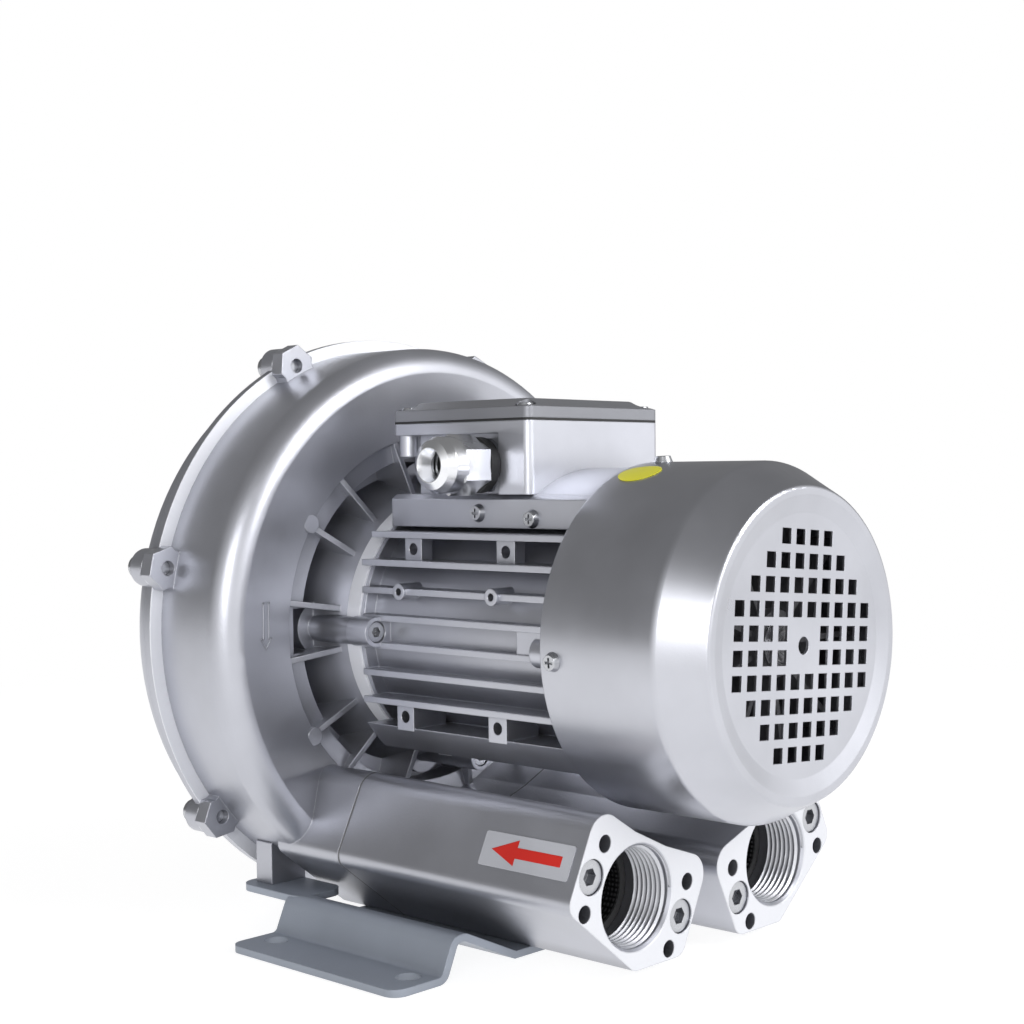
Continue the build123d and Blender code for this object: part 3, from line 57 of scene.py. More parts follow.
# places that the frame gives, in metres
axis_height = middle("shaft").z
cover_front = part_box("fan_cover")[0].y
port_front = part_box("silencer_left")[0].y
port_spots = {side: middle(f"silencer_liner_{side}") for side in ("left", "right")}
cowl_radius = (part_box("fan_cover")[1].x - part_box("fan_cover")[0].x) / 2
spigot_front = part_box("motor_frame")[1].y
cover_flange_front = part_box("impeller_cover")[0].y


# where the marks sit, in metres and degrees
label_out, label_up = 0.0355, 0.0195  # from the middle of the near port
label_setback = 0.0743  # behind the lip of the cowl
oval_label_turn, oval_label_setback = 69.7, 0.0615
cast_arrow_out, cast_arrow_up, cast_arrow_setback = 0.0975, 0.004, 0.011
cast_arrow_height, cast_arrow_sunk = 0.0007, 0.0003
film_gap, print_sheet = 0.00005, 0.00008
thread_root, thread_setback = 0.0002, 0.0016

# depths of fine relief and reach of the bright faces, in metres
tool_line_depth, wire_depth, wires_scale = 0.00004, 0.0003, 170.0
mask_skin, mask_depth, everywhere = 0.0001, 0.0004, 1.0

# studio
floor_half, floor_gap = 6.0, 0.0002
floor_grey, floor_glow = (0.3, 0.3, 0.3, 1.0), 0.86
bright_direction, front_light, all_round_light = (-0.2, -0.98, 0.0), 1.15, 0.2
camera_side, camera_ahead, camera_height = 0.5289, 0.3659, 0.1929
camera_angles = (48.59, 2.79, -0.52)  # yaw, pitch down and roll, in degrees


# ------------------------------------------------------------------ user settings
def millimetres(name, description, size, low=0.05, high=200.0):
    return FloatProperty(
        name=name,
        description=description,
        default=size / 1000,
        min=low / 1000,
        max=high / 1000,
        precision=5,
        unit="LENGTH",
    )


def paint(name, description, red, green, blue):
    return FloatVectorProperty(
        name=name,
        description=description,
        default=(red, green, blue),
        min=0.0,
        max=1.0,
        size=3,
        subtype="COLOR",
    )


class BlowerSizes(bpy.types.PropertyGroup):
    """Sizes of the pieces that are made here."""

    thread_radius: millimetres("Thread radius", "Wall radius of the port threads", 19.5)
    thread_pitch: millimetres("Thread pitch", "Distance between two thread crests", 2.31)
    thread_depth: millimetres("Thread depth", "Height of a thread crest", 1.1)
    thread_length: millimetres("Thread length", "Length of the threaded stretch", 19.0)
    arrow_label_length: millimetres("Flow label length", "Length of the flow arrow label", 46.0)
    arrow_label_height: millimetres("Flow label height", "Height of the flow arrow label", 13.5)
    label_sheet: millimetres("Label thickness", "Thickness of the stuck labels", 0.25)
    oval_label_length: millimetres("Oval label length", "Length of the oval label", 18.5)
    oval_label_width: millimetres("Oval label width", "Width of the oval label", 16.0)
    cast_arrow_length: millimetres("Cast arrow length", "Length of the raised turning arrow", 19.0)
    cast_arrow_width: millimetres("Cast arrow width", "Width of the raised turning arrow", 6.5)
    cast_line: millimetres("Cast line", "Width of the arrow's raised outline", 0.7)
    spigot_width: millimetres("Spigot width", "Width of the bright turned spigot", 9.1)
    spigot_reach: millimetres("Spigot reach", "Radius inside which the spigot is bright", 61.0)


class BlowerColours(bpy.types.PropertyGroup):
    """Colours of the finishes."""

    casting: paint("Castings", "Silver paint of the castings", 0.53, 0.54, 0.59)
    cowl: paint("Cowl", "Silver paint of the fan cowl", 0.58, 0.59, 0.64)
    machined: paint("Machined metal", "Bare machined aluminium", 0.72, 0.73, 0.77)
    plated: paint("Plated metal", "Nickel plate of the cable gland", 0.90, 0.91, 0.94)
    steel: paint("Screw steel", "Zinc plated screws", 0.56, 0.57, 0.60)
    base: paint("Foot plate", "Blue grey paint of the foot plate", 0.35, 0.385, 0.45)
    label: paint("Flow label", "Ground of the flow label", 0.47, 0.48, 0.52)
    arrow: paint("Flow arrow", "Red of the flow arrow", 0.62, 0.02, 0.012)
    oval: paint("Oval label", "Yellow of the oval label", 0.86, 0.82, 0.04)
    rubber: paint("Rubber", "Black seals", 0.018, 0.018, 0.019)
    fibre: paint("Gasket fibre", "Grey fibre gaskets of the silencers", 0.16, 0.16, 0.17)
    fan: paint("Cooling fan", "Grey plastic of the cooling fan", 0.10, 0.10, 0.11)


# ------------------------------------------------------------------ shader helpers
def add(tree, kind, settings=None, **values):
    """Adds a node; values fill its inputs by name, with spaces written as underscores."""
    node = tree.nodes.new(kind)
    for name, value in (settings or {}).items():
        setattr(node, name, value)
    for name, value in values.items():
        socket = node.inputs[name.replace("_", " ")]
        if isinstance(value, bpy.types.NodeSocket):
            tree.links.new(value, socket)
        else:
            socket.default_value = value
    return node


def maths(tree, operation, *values, clamp=False):
    node = tree.nodes.new("ShaderNodeMath")
    node.operation, node.use_clamp = operation, clamp
    for socket, value in zip(node.inputs, values):
        if isinstance(value, bpy.types.NodeSocket):
            tree.links.new(value, socket)
        else:
            socket.default_value = value
    return node.outputs[0]


def spread(tree, value, low, high, new_low=0.0, new_high=1.0):
    """Maps low..high to new_low..new_high."""
    node = add(tree, "ShaderNodeMapRange", None, Value=value)
    for name, number in (("From Min", low), ("From Max", high), ("To Min", new_low), ("To Max", new_high)):
        node.inputs[name].default_value = number
    return node.outputs["Result"]


def mixed(tree, factor, first, second):
    """Mixes two colours."""
    node = tree.nodes.new("ShaderNodeMix")
    node.data_type = "RGBA"
    for socket, value in zip((node.inputs[0], node.inputs[6], node.inputs[7]), (factor, first, second)):
        if isinstance(value, bpy.types.NodeSocket):
            tree.links.new(value, socket)
        else:
            socket.default_value = value if isinstance(value, float) else (*value, 1.0)[:4]
    return node.outputs[2]


def square(tree, value):
    return maths(tree, "MULTIPLY", value, value)


def shaft_distance(tree, parts):
    """How far a place, split into its parts, lies from the line of the shaft."""
    lifted = maths(tree, "SUBTRACT", parts.outputs["Z"], axis_height)
    squares = maths(tree, "ADD", square(tree, parts.outputs["X"]), square(tree, lifted))
    return maths(tree, "SQRT", squares)


def new_group(name, inputs, outputs):
    """A shader node group; inputs are (name, default), outputs are (name, socket type)."""
    group = bpy.data.node_groups.new(name, "ShaderNodeTree")
    for label, default in inputs:
        socket = group.interface.new_socket(label, in_out="INPUT", socket_type="NodeSocketFloat")
        socket.default_value = default
    for label, kind in outputs:
        group.interface.new_socket(label, in_out="OUTPUT", socket_type=kind)
    return group, group.nodes.new("NodeGroupInput").outputs, group.nodes.new("NodeGroupOutput").inputs


def cast_grain_group():
    """Fine orange peel of painted castings, with a slow tone over the surface."""
    group, given, out = new_group(
        "cast_grain",
        [("Grain Scale", 900.0), ("Tone Scale", 14.0)],
        [("Height", "NodeSocketFloat"), ("Tone", "NodeSocketFloat")],
    )
    place = group.nodes.new("ShaderNodeTexCoord").outputs["Object"]
    fine = add(group, "ShaderNodeTexNoise", None, Vector=place, Scale=given[0], Detail=3.0, Roughness=0.6)
    slow = add(group, "ShaderNodeTexNoise", None, Vector=place, Scale=given[1], Detail=4.0, Roughness=0.55)
    group.links.new(fine.outputs[0], out["Height"])
    group.links.new(spread(group, slow.outputs[0], 0.3, 0.7), out["Tone"])
    return group


def edge_wear_group():
    """Rubbed edges: where the rounded normal leaves the flat one, broken up by noise."""
    group, given, out = new_group(
        "edge_wear",
        [("Edge Width", 0.0008), ("Amount", 0.5)],
        [("Mask", "NodeSocketFloat"), ("Normal", "NodeSocketVector")],
    )
    soft = add(group, "ShaderNodeBevel", {"samples": 4}, Radius=given[0])
    flat = group.nodes.new("ShaderNodeNewGeometry").outputs["Normal"]
    product = add(group, "ShaderNodeVectorMath", {"operation": "DOT_PRODUCT"})
    group.links.new(soft.outputs[0], product.inputs[0])
    group.links.new(flat, product.inputs[1])
    edge = spread(group, product.outputs["Value"], 0.995, 0.86)
    place = group.nodes.new("ShaderNodeTexCoord").outputs["Object"]
    spots = add(group, "ShaderNodeTexNoise", None, Vector=place, Scale=240.0, Detail=3.0)
    broken = spread(group, spots.outputs[0], 0.35, 0.6)
    mask = maths(group, "MULTIPLY", maths(group, "MULTIPLY", edge, broken), given[1], clamp=True)
    group.links.new(mask, out["Mask"])
    group.links.new(soft.outputs[0], out["Normal"])
    return group


def recess_dust_and_shade_group():
    """Dust and painted shade in corners: an ambient occlusion mask that darkens the recesses."""
    inputs = [("Reach", 0.012), ("Amount", 0.5)]
    group, given, out = new_group("recess_dust_and_shade", inputs, [("Mask", "NodeSocketFloat")])
    hollow = add(group, "ShaderNodeAmbientOcclusion", {"samples": 6}, Distance=given[0])
    # painted shade with dust: the mask grows where the occlusion finds near surfaces
    dust_and_shade = spread(group, hollow.outputs["AO"], 0.95, 0.3)
    group.links.new(maths(group, "MULTIPLY", dust_and_shade, given[1], clamp=True), out["Mask"])
    return group


def turned_lines_group():
    """Fine tool lines that run round the shaft direction."""
    group, given, out = new_group(
        "turned_lines", [("Line Scale", 900.0)], [("Height", "NodeSocketFloat"), ("Tone", "NodeSocketFloat")]
    )
    place = group.nodes.new("ShaderNodeTexCoord").outputs["Object"]
    parts = add(group, "ShaderNodeSeparateXYZ", None, Vector=place)
    spot = add(group, "ShaderNodeCombineXYZ", None, X=shaft_distance(group, parts), Y=parts.outputs["Y"])
    lines = add(group, "ShaderNodeTexNoise", None, Vector=spot.outputs[0], Scale=given[0], Detail=2.0)
    group.links.new(lines.outputs[0], out["Height"])
    group.links.new(spread(group, lines.outputs[0], 0.3, 0.7), out["Tone"])
    return group


groups = {}


def placed(tree, name, **values):
    """Places one of the shared groups in a material."""
    node = tree.nodes.new("ShaderNodeGroup")
    node.node_tree = groups[name]
    for label, value in values.items():
        node.inputs[label.replace("_", " ")].default_value = value
    return node.outputs


def bare_material(name):
    """A new material with only a Principled shader and its output."""
    material = bpy.data.materials.new(name)
    material.use_nodes = True
    tree = material.node_tree
    tree.nodes.clear()
    shader = tree.nodes.new("ShaderNodeBsdfPrincipled")
    output = tree.nodes.new("ShaderNodeOutputMaterial")
    tree.links.new(shader.outputs[0], output.inputs["Surface"])
    return material, tree, shader


def raised(tree, shader, strength, distance, height, **normal):
    """Gives the shader a bump of a real depth, on top of a normal if there is one."""
    bump = add(tree, "ShaderNodeBump", None, Strength=strength, Distance=distance, Height=height, **normal)
    tree.links.new(bump.outputs[0], shader.inputs["Normal"])


def darker(colour, share):
    return tuple(min(1.0, channel * share) for channel in colour)


def bright_band(tree, low, high, reach):
    """1 on the surfaces between two places along the shaft that lie within a radius of it."""
    place = tree.nodes.new("ShaderNodeTexCoord").outputs["Object"]
    parts = add(tree, "ShaderNodeSeparateXYZ", None, Vector=place)
    inside = maths(tree, "LESS_THAN", shaft_distance(tree, parts), reach)
    behind = maths(tree, "GREATER_THAN", parts.outputs["Y"], low)
    before = maths(tree, "LESS_THAN", parts.outputs["Y"], high)
    return maths(tree, "MULTIPLY", inside, maths(tree, "MULTIPLY", behind, before))


def front_face(place, colour, matt):
    """The machined setting of metal_paint for a flat face that looks to the front."""
    return place - mask_skin, place + mask_depth, everywhere, colour, matt


def metal_paint(name, colour, roughness, metallic, grain=0.00006, dust_and_shade=0.5, edge=0.0007, machined=None):
    """Silver paint on cast metal: orange peel, slow tone, soft worn edges, and corners darkened with dust
    and painted shade.

    machined holds (low, high, reach, colour, matt) of a bright turned band, where matt is how
    much less metallic it is.
    """
    material, tree, shader = bare_material(name)
    cast = placed(tree, "cast_grain")
    worn = placed(tree, "edge_wear", Edge_Width=edge, Amount=0.6)
    corner_dust_and_shade = placed(tree, "recess_dust_and_shade", Amount=dust_and_shade)
    base = mixed(tree, cast["Tone"], darker(colour, 0.89), darker(colour, 1.08))
    lit = mixed(tree, worn["Mask"], base, darker(colour, 1.25))
    # dust and painted shade: recesses darkened to 0.35 of the colour by the occlusion mask
    shown = mixed(tree, corner_dust_and_shade["Mask"], lit, darker(colour, 0.35))
    rough = spread(tree, cast["Tone"], 0.0, 1.0, roughness - 0.04, roughness + 0.05)
    if machined:
        low, high, reach, bright, matt = machined
        band = bright_band(tree, low, high, reach)
        shown = mixed(tree, band, shown, bright)
        tree.links.new(maths(tree, "MULTIPLY_ADD", band, -matt, metallic), shader.inputs["Metallic"])
        rough = maths(tree, "MULTIPLY_ADD", band, 0.12, rough)
    tree.links.new(shown, shader.inputs["Base Color"])
    tree.links.new(rough, shader.inputs["Roughness"])
    if not machined:
        shader.inputs["Metallic"].default_value = metallic
    raised(tree, shader, 0.5, grain, cast["Height"], Normal=worn["Normal"])
    return material


def machined_metal(name, colour, roughness=0.28, dust_and_shade=0.3):
    """Bare metal with fine tool lines and soft edges."""
    material, tree, shader = bare_material(name)
    lines = placed(tree, "turned_lines")
    worn = placed(tree, "edge_wear", Edge_Width=0.0004, Amount=0.4)
    corner_dust_and_shade = placed(tree, "recess_dust_and_shade", Reach=0.006, Amount=dust_and_shade)
    base = mixed(tree, lines["Tone"], darker(colour, 0.9), darker(colour, 1.06))
    # dust and painted shade: recesses darkened to 0.3 of the colour by the occlusion mask
    tree.links.new(mixed(tree, corner_dust_and_shade["Mask"], base, darker(colour, 0.3)), shader.inputs["Base Color"])
    rough = spread(tree, lines["Tone"], 0.0, 1.0, roughness - 0.06, roughness + 0.08)
    tree.links.new(rough, shader.inputs["Roughness"])
    shader.inputs["Metallic"].default_value = 0.95
    raised(tree, shader, 0.4, tool_line_depth, lines["Height"], Normal=worn["Normal"])
    return material


def plated_metal(name, colour, roughness=0.2):
    """Smooth plated metal with faint smears and shaded corners."""
    material, tree, shader = bare_material(name)
    cast = placed(tree, "cast_grain", Grain_Scale=260.0, Tone_Scale=60.0)
    worn = placed(tree, "edge_wear", Edge_Width=0.0004, Amount=0.5)
    corner_dust_and_shade = placed(tree, "recess_dust_and_shade", Reach=0.006, Amount=0.5)
    base = mixed(tree, worn["Mask"], colour, darker(colour, 1.2))
    # dust and painted shade: recesses darkened to 0.25 of the colour by the occlusion mask
    tree.links.new(mixed(tree, corner_dust_and_shade["Mask"], base, darker(colour, 0.25)), shader.inputs["Base Color"])
    rough = spread(tree, cast["Tone"], 0.0, 1.0, roughness - 0.05, roughness + 0.1)
    tree.links.new(rough, shader.inputs["Roughness"])
    shader.inputs["Metallic"].default_value = 1.0
    tree.links.new(worn["Normal"], shader.inputs["Normal"])
    return material


def moulded(name, colour, roughness=0.5, grain=0.00004):
    """Moulded plastic or rubber with a faint grain."""
    material, tree, shader = bare_material(name)
    cast = placed(tree, "cast_grain", Grain_Scale=1500.0)
    worn = placed(tree, "edge_wear", Edge_Width=0.0004, Amount=0.3)
    base = mixed(tree, cast["Tone"], darker(colour, 0.85), darker(colour, 1.15))
    tree.links.new(mixed(tree, worn["Mask"], base, darker(colour, 1.8)), shader.inputs["Base Color"])
    rough = spread(tree, cast["Tone"], 0.0, 1.0, roughness - 0.05, roughness + 0.08)
    tree.links.new(rough, shader.inputs["Roughness"])
    raised(tree, shader, 0.4, grain, cast["Height"], Normal=worn["Normal"])
    return material


def woven_wire(name, colour):
    """A woven wire liner: two sets of waves round and along the duct."""
    material, tree, shader = bare_material(name)
    place = tree.nodes.new("ShaderNodeTexCoord").outputs["Object"]
    along = add(tree, "ShaderNodeTexWave", {"bands_direction": "Y"}, Vector=place, Scale=wires_scale)
    across = add(tree, "ShaderNodeTexWave", {"bands_direction": "Z"}, Vector=place, Scale=wires_scale)
    weave = maths(tree, "MULTIPLY", along.outputs["Fac"], across.outputs["Fac"])
    tree.links.new(mixed(tree, weave, darker(colour, 0.08), colour), shader.inputs["Base Color"])
    tree.links.new(spread(tree, weave, 0.0, 1.0, 0.6, 0.35), shader.inputs["Roughness"])
    shader.inputs["Metallic"].default_value = 0.8
    raised(tree, shader, 0.8, wire_depth, weave)
    return material


def dress(material, *names):
    """Gives CAD nodes a material."""
    for name in names:
        mesh = nodes[name].data
        mesh.materials.clear()
        mesh.materials.append(material)


def piece(name, mesh_maker, material):
    """Makes a new mesh piece that rides on the standing body and takes its finish from a slot."""
    mesh = bpy.data.meshes.new(name)
    build = bmesh.new()
    mesh_maker(build)
    bmesh.ops.recalc_face_normals(build, faces=build.faces)
    build.to_mesh(mesh)
    build.free()
    mesh.materials.append(material)
    made = bpy.data.objects.new(name, mesh)
    bpy.context.scene.collection.objects.link(made)
    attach(made, STANDING)
    return made


def prism(build, outline, place, depth):
    """A closed plate: the outline (u, v) on a frame matrix, from 0 to depth along its third axis."""
    low = [build.verts.new(place @ Vector((u, v, 0.0))) for u, v in outline]
    high = [build.verts.new(place @ Vector((u, v, depth))) for u, v in outline]
    build.faces.new(list(reversed(low)))
    build.faces.new(high)
    count = len(outline)
    for i in range(count):
        j = (i + 1) % count
        build.faces.new((low[i], low[j], high[j], high[i]))


def standing_on(origin, u_axis, normal):
    """A matrix with its first axis along u_axis and its third along the normal."""
    n = Vector(normal).normalized()
    u = (Vector(u_axis) - n * n.dot(Vector(u_axis))).normalized()
    v = n.cross(u)
    return Matrix((u.to_4d(), v.to_4d(), n.to_4d(), Vector(origin).to_4d())).transposed()


def nearest(name, guess):
    """The spot and the outward normal on a CAD node's surface that lie nearest to a guess."""
    node = nodes[name]
    found, spot, normal, face = node.closest_point_on_mesh(node.matrix_world.inverted() @ guess)
    if not found:
        raise ValueError(f"no surface near {guess} on {name}")
    return node.matrix_world @ spot, (node.matrix_world.to_3x3() @ normal).normalized()


def bar(start, end, width):
    """The outline of a straight bar between two points."""
    a, b = Vector(start), Vector(end)
    along = (b - a).normalized() * width / 2
    side = Vector((-along.y, along.x))
    return [tuple(p) for p in (a - along - side, b + along - side, b + along + side, a - along + side)]


def rounded_rectangle(length, height, corner, steps=5):
    points = []
    for turn, (cx, cy) in enumerate(((1, 1), (-1, 1), (-1, -1), (1, -1))):
        for i in range(steps + 1):
            angle = math.radians(90 * turn + 90 * i / steps)
            points.append(
                (
                    cx * (length / 2 - corner) + corner * math.cos(angle),
                    cy * (height / 2 - corner) + corner * math.sin(angle),
                )
            )
    return points


def arrow_outline(length, height, shaft=0.42, head=0.36):
    """An arrow that points to -u."""
    tip, neck, end = -length / 2, -length / 2 + head * length, length / 2
    half, thin = height / 2, shaft * height / 2
    return [(tip, 0), (neck, -half), (neck, -thin), (end, -thin), (end, thin), (neck, thin), (neck, half)]


# ------------------------------------------------------------------ operators
class BlowerStep(bpy.types.Operator):
    """A step that finishes one group of pieces."""

    bl_options = {"REGISTER", "UNDO"}

    @property
    def sizes(self):
        return bpy.context.scene.blower_sizes

    @property
    def colours(self):
        return bpy.context.scene.blower_colours


class BLOWER_OT_shared_effects(BlowerStep):
    """Builds the shader groups that the finishes share"""

    bl_idname = "blower.shared_effects"
    bl_label = "Shared effects"

    def execute(self, context):
        groups["cast_grain"] = cast_grain_group()
        groups["edge_wear"] = edge_wear_group()
        groups["recess_dust_and_shade"] = recess_dust_and_shade_group()
        groups["turned_lines"] = turned_lines_group()
        return {"FINISHED"}


class BLOWER_OT_castings(BlowerStep):
    """Paints the blower housing, the wheel cover and the motor castings"""

    bl_idname = "blower.castings"
    bl_label = "Castings"

    def execute(self, context):
        casting, bright = tuple(self.colours.casting), tuple(self.colours.machined)
        sizes = self.sizes
        spigot_back = spigot_front + sizes.spigot_width
        spigot = (spigot_front - mask_skin, spigot_back, sizes.spigot_reach, darker(bright, 1.25), 0.6)
        housing = metal_paint("silver_casting", casting, 0.36, 0.9, grain=0.00009, machined=spigot)
        dress(housing, "blower_housing")
        motor = metal_paint("silver_motor_casting", darker(casting, 1.1), 0.33, 0.9)
        dress(motor, "motor_frame", "fan_end_shield")
        flange = front_face(cover_flange_front, darker(bright, 1.15), 0.45)
        cover = metal_paint("silver_cover_casting", casting, 0.34, 0.9, machined=flange)
        dress(cover, "impeller_cover")
        return {"FINISHED"}


class BLOWER_OT_cowl(BlowerStep):
    """Paints the fan cowl with its grille"""

    bl_idname = "blower.cowl"
    bl_label = "Fan cowl"

    def execute(self, context):
        colour = tuple(self.colours.cowl)
        cowl = metal_paint("silver_cowl", colour, 0.31, 0.95, grain=0.00003, dust_and_shade=0.2, edge=0.0005)
        dress(cowl, "fan_cover")
        return {"FINISHED"}


class BLOWER_OT_silencers(BlowerStep):
    """Finishes the two silencer ducts with their threads, liners, foams and gaskets"""

    bl_idname = "blower.silencers"
    bl_label = "Silencers"

    def execute(self, context):
        casting = tuple(self.colours.casting)
        face = front_face(port_front, tuple(self.colours.machined), 0.3)
        duct = metal_paint("silver_duct_casting", casting, 0.37, 0.9, grain=0.0001, machined=face)
        dress(duct, "silencer_left", "silencer_right")
        fibre = moulded("gasket_fibre", tuple(self.colours.fibre))
        dress(fibre, "silencer_gasket_left", "silencer_gasket_right")
        dress(woven_wire("liner_wire", (0.20, 0.20, 0.21)), "silencer_liner_left", "silencer_liner_right")
        foam = moulded("open_foam", (0.05, 0.05, 0.052), 0.9, 0.0006)
        dress(foam, "silencer_foam_left", "silencer_foam_right")
        thread = plated_metal("machined_thread", darker(tuple(self.colours.machined), 0.95), 0.38)
        for side, spot in port_spots.items():
            made = piece(
                f"port_thread_{side}",
                lambda build, spot=spot: self.thread(build, spot),
                thread,
            )
            for face in made.data.polygons:
                face.use_smooth = False
        return {"FINISHED"}

    def thread(self, build, spot):
        """A helical ridge on the wall of the port."""
        sizes = self.sizes
        steps = 72
        turns = int(sizes.thread_length / sizes.thread_pitch)
        wall = sizes.thread_radius + thread_root
        crest = sizes.thread_radius - sizes.thread_depth
        start = port_front + thread_setback
        foot, tip = 0.48, 0.06  # half widths of the ridge, as shares of the pitch
        rings = []
        for i in range(steps * turns + 1):
            angle = 2 * math.pi * i / steps
            y = start + sizes.thread_pitch * i / steps
            grow = min(1.0, i / steps, (steps * turns - i) / steps)
            inner = wall - (wall - crest) * grow
            ring = []
            for offset, radius in ((-foot, wall), (-tip, inner), (tip, inner), (foot, wall)):
                ring.append(
                    build.verts.new(
                        (
                            spot.x + radius * math.cos(angle),
                            y + offset * sizes.thread_pitch,
                            spot.z + radius * math.sin(angle),
                        )
                    )
                )
            rings.append(ring)
        for first, second in zip(rings, rings[1:]):
            for k in range(4):
                build.faces.new((first[k], first[(k + 1) % 4], second[(k + 1) % 4], second[k]))
        build.faces.new(rings[0])
        build.faces.new(list(reversed(rings[-1])))


class BLOWER_OT_terminal_box(BlowerStep):
    """Finishes the terminal box, its lid and what it holds"""

    bl_idname = "blower.terminal_box"
    bl_label = "Terminal box"

    def execute(self, context):
        casting = tuple(self.colours.casting)
        dress(metal_paint("silver_box_casting", darker(casting, 1.15), 0.33, 0.9), "terminal_box")
        dress(metal_paint("grey_lid_paint", darker(casting, 0.55), 0.4, 0.6), "terminal_box_lid")
        dress(moulded("box_gasket_rubber", tuple(self.colours.rubber)), "terminal_box_gasket")
        dress(moulded("board_moulding", (0.06, 0.035, 0.02), 0.4), "terminal_board")
        dress(machined_metal("terminal_brass", (0.72, 0.50, 0.20)), "terminal_links", "terminal_studs")
        return {"FINISHED"}


class BLOWER_OT_gland(BlowerStep):
    """Finishes the cable gland"""

    bl_idname = "blower.gland"
    bl_label = "Cable gland"

    def execute(self, context):
        dress(plated_metal("gland_metal", tuple(self.colours.plated)), "gland_body", "gland_nut")
        dress(moulded("gland_rubber", tuple(self.colours.rubber)), "gland_washer", "gland_seal")
        return {"FINISHED"}


class BLOWER_OT_rotor(BlowerStep):
    """Finishes the wheel, the shaft, the bearings, the cooling fan and the windings"""

    bl_idname = "blower.rotor"
    bl_label = "Rotor and stator"

    def execute(self, context):
        dress(machined_metal("wheel_aluminium", tuple(self.colours.machined)), "impeller")
        steel = machined_metal("shaft_steel", (0.52, 0.52, 0.54), 0.25)
        dress(steel, "shaft", "impeller_key", "fan_key", "fan_retaining_ring")
        dress(steel, "wave_spring", "impeller_washer")
        bearing = machined_metal("bearing_steel", (0.66, 0.66, 0.67), 0.15)
        for end in ("fan", "drive"):
            dress(bearing, f"{end}_bearing_outer_ring", f"{end}_bearing_inner_ring", f"{end}_bearing_balls")
        dress(moulded("fan_moulding", tuple(self.colours.fan), 0.45), "cooling_fan")
        dress(moulded("seal_rubber", tuple(self.colours.rubber)), "shaft_seal")
        dress(machined_metal("core_steel", (0.22, 0.22, 0.24), 0.45), "stator_core", "rotor_core")
        dress(machined_metal("winding_copper", (0.55, 0.22, 0.08), 0.35), "stator_windings")
        return {"FINISHED"}


class BLOWER_OT_fasteners(BlowerStep):
    """Finishes all the screws"""

    bl_idname = "blower.fasteners"
    bl_label = "Screws"

    def execute(self, context):
        zinc = plated_metal("zinc_screw", tuple(self.colours.steel), 0.25)
        dress(zinc, *[name for name in nodes if name.endswith(("_screws", "_bolts", "_bolt"))])
        return {"FINISHED"}


class BLOWER_OT_base_plate(BlowerStep):
    """Paints the foot plate"""

    bl_idname = "blower.base_plate"
    bl_label = "Foot plate"

    def execute(self, context):
        foot = metal_paint("foot_plate_paint", tuple(self.colours.base), 0.42, 0.2, grain=0.00012)
        dress(foot, "base_plate")
        return {"FINISHED"}


class BLOWER_OT_labels(BlowerStep):
    """Makes the flow arrow label, the blank oval label and the raised turning arrow"""

    bl_idname = "blower.labels"
    bl_label = "Labels"

    def execute(self, context):
        self.flow_label()
        self.oval_label()
        self.cast_arrow()
        return {"FINISHED"}

    def flow_label(self):
        sizes = self.sizes
        # the label lies on the upper outer face of the near duct, behind its mouth
        guess = port_spots["left"] + Vector((-label_out, 0, label_up))
        guess.y = cover_front + label_setback
        spot, normal = nearest("silencer_left", guess)
        place = standing_on(spot + normal * film_gap, (0, -1, 0), normal)  # its arrow points to the wheel
        ground = moulded("label_film", tuple(self.colours.label), 0.35, 0.00001)
        outline = rounded_rectangle(sizes.arrow_label_length, sizes.arrow_label_height, 0.0012)
        film = sizes.label_sheet
        piece("flow_label", lambda build: prism(build, outline, place, film), ground)
        red = moulded("arrow_print", tuple(self.colours.arrow), 0.4, 0.00001)
        lifted = place @ Matrix.Translation((0.0, 0.0, sizes.label_sheet))
        mark = arrow_outline(sizes.arrow_label_length * 0.78, sizes.arrow_label_height * 0.74)
        piece("flow_arrow", lambda build: prism(build, mark, lifted, print_sheet), red)

    def cast_arrow(self):
        """A raised outline of an arrow that shows which way the wheel turns."""
        sizes = self.sizes
        guess = Vector((-cast_arrow_out, spigot_front + cast_arrow_setback, axis_height + cast_arrow_up))
        spot, normal = nearest("blower_housing", guess)
        place = standing_on(spot - normal * cast_arrow_sunk, (0, 0, 1), normal)
        half, width, line = sizes.cast_arrow_length / 2, sizes.cast_arrow_width / 2, sizes.cast_line
        neck = -half + 1.3 * width
        height = cast_arrow_height

        def shape(build):
            for side in (-1, 1):
                shaft, head = side * width * 0.55, side * width
                prism(build, bar((half, shaft), (neck, shaft), line), place, height)
                prism(build, bar((neck, shaft), (neck, head), line), place, height)
                prism(build, bar((neck, head), (-half, 0.0), line), place, height)
            prism(build, bar((half, -width * 0.55), (half, width * 0.55), line), place, height)

        casting = metal_paint("silver_mark_casting", tuple(self.colours.casting), 0.36, 0.9)
        piece("turning_arrow", shape, casting)

    def oval_label(self):
        sizes = self.sizes
        yellow = moulded("oval_film", tuple(self.colours.oval), 0.35, 0.00001)
        centre_angle = math.radians(180 - oval_label_turn)
        y_middle = cover_front + oval_label_setback

        def spot(radius, share, turn):
            angle = centre_angle + share * sizes.oval_label_width / 2 * math.sin(turn) / radius
            y = y_middle + share * sizes.oval_label_length / 2 * math.cos(turn)
            return radius * math.cos(angle), y, axis_height + radius * math.sin(angle)

        def shape(build):
            low = cowl_radius + film_gap
            high = low + sizes.label_sheet
            steps = 40
            # rings from the middle of the underside, round the rim, to the middle of the top
            shares = (0.02, 0.4, 0.75, 1.0)
            rings = [(low, share) for share in shares] + [(high, share) for share in reversed(shares)]
            rows = [
                [build.verts.new(spot(radius, share, 2 * math.pi * i / steps)) for i in range(steps)]
                for radius, share in rings
            ]
            for first, second in zip(rows, rows[1:]):
                for i in range(steps):
                    j = (i + 1) % steps
                    build.faces.new((first[i], first[j], second[j], second[i]))
            build.faces.new(rows[0])
            build.faces.new(list(reversed(rows[-1])))

        piece("oval_label", shape, yellow)


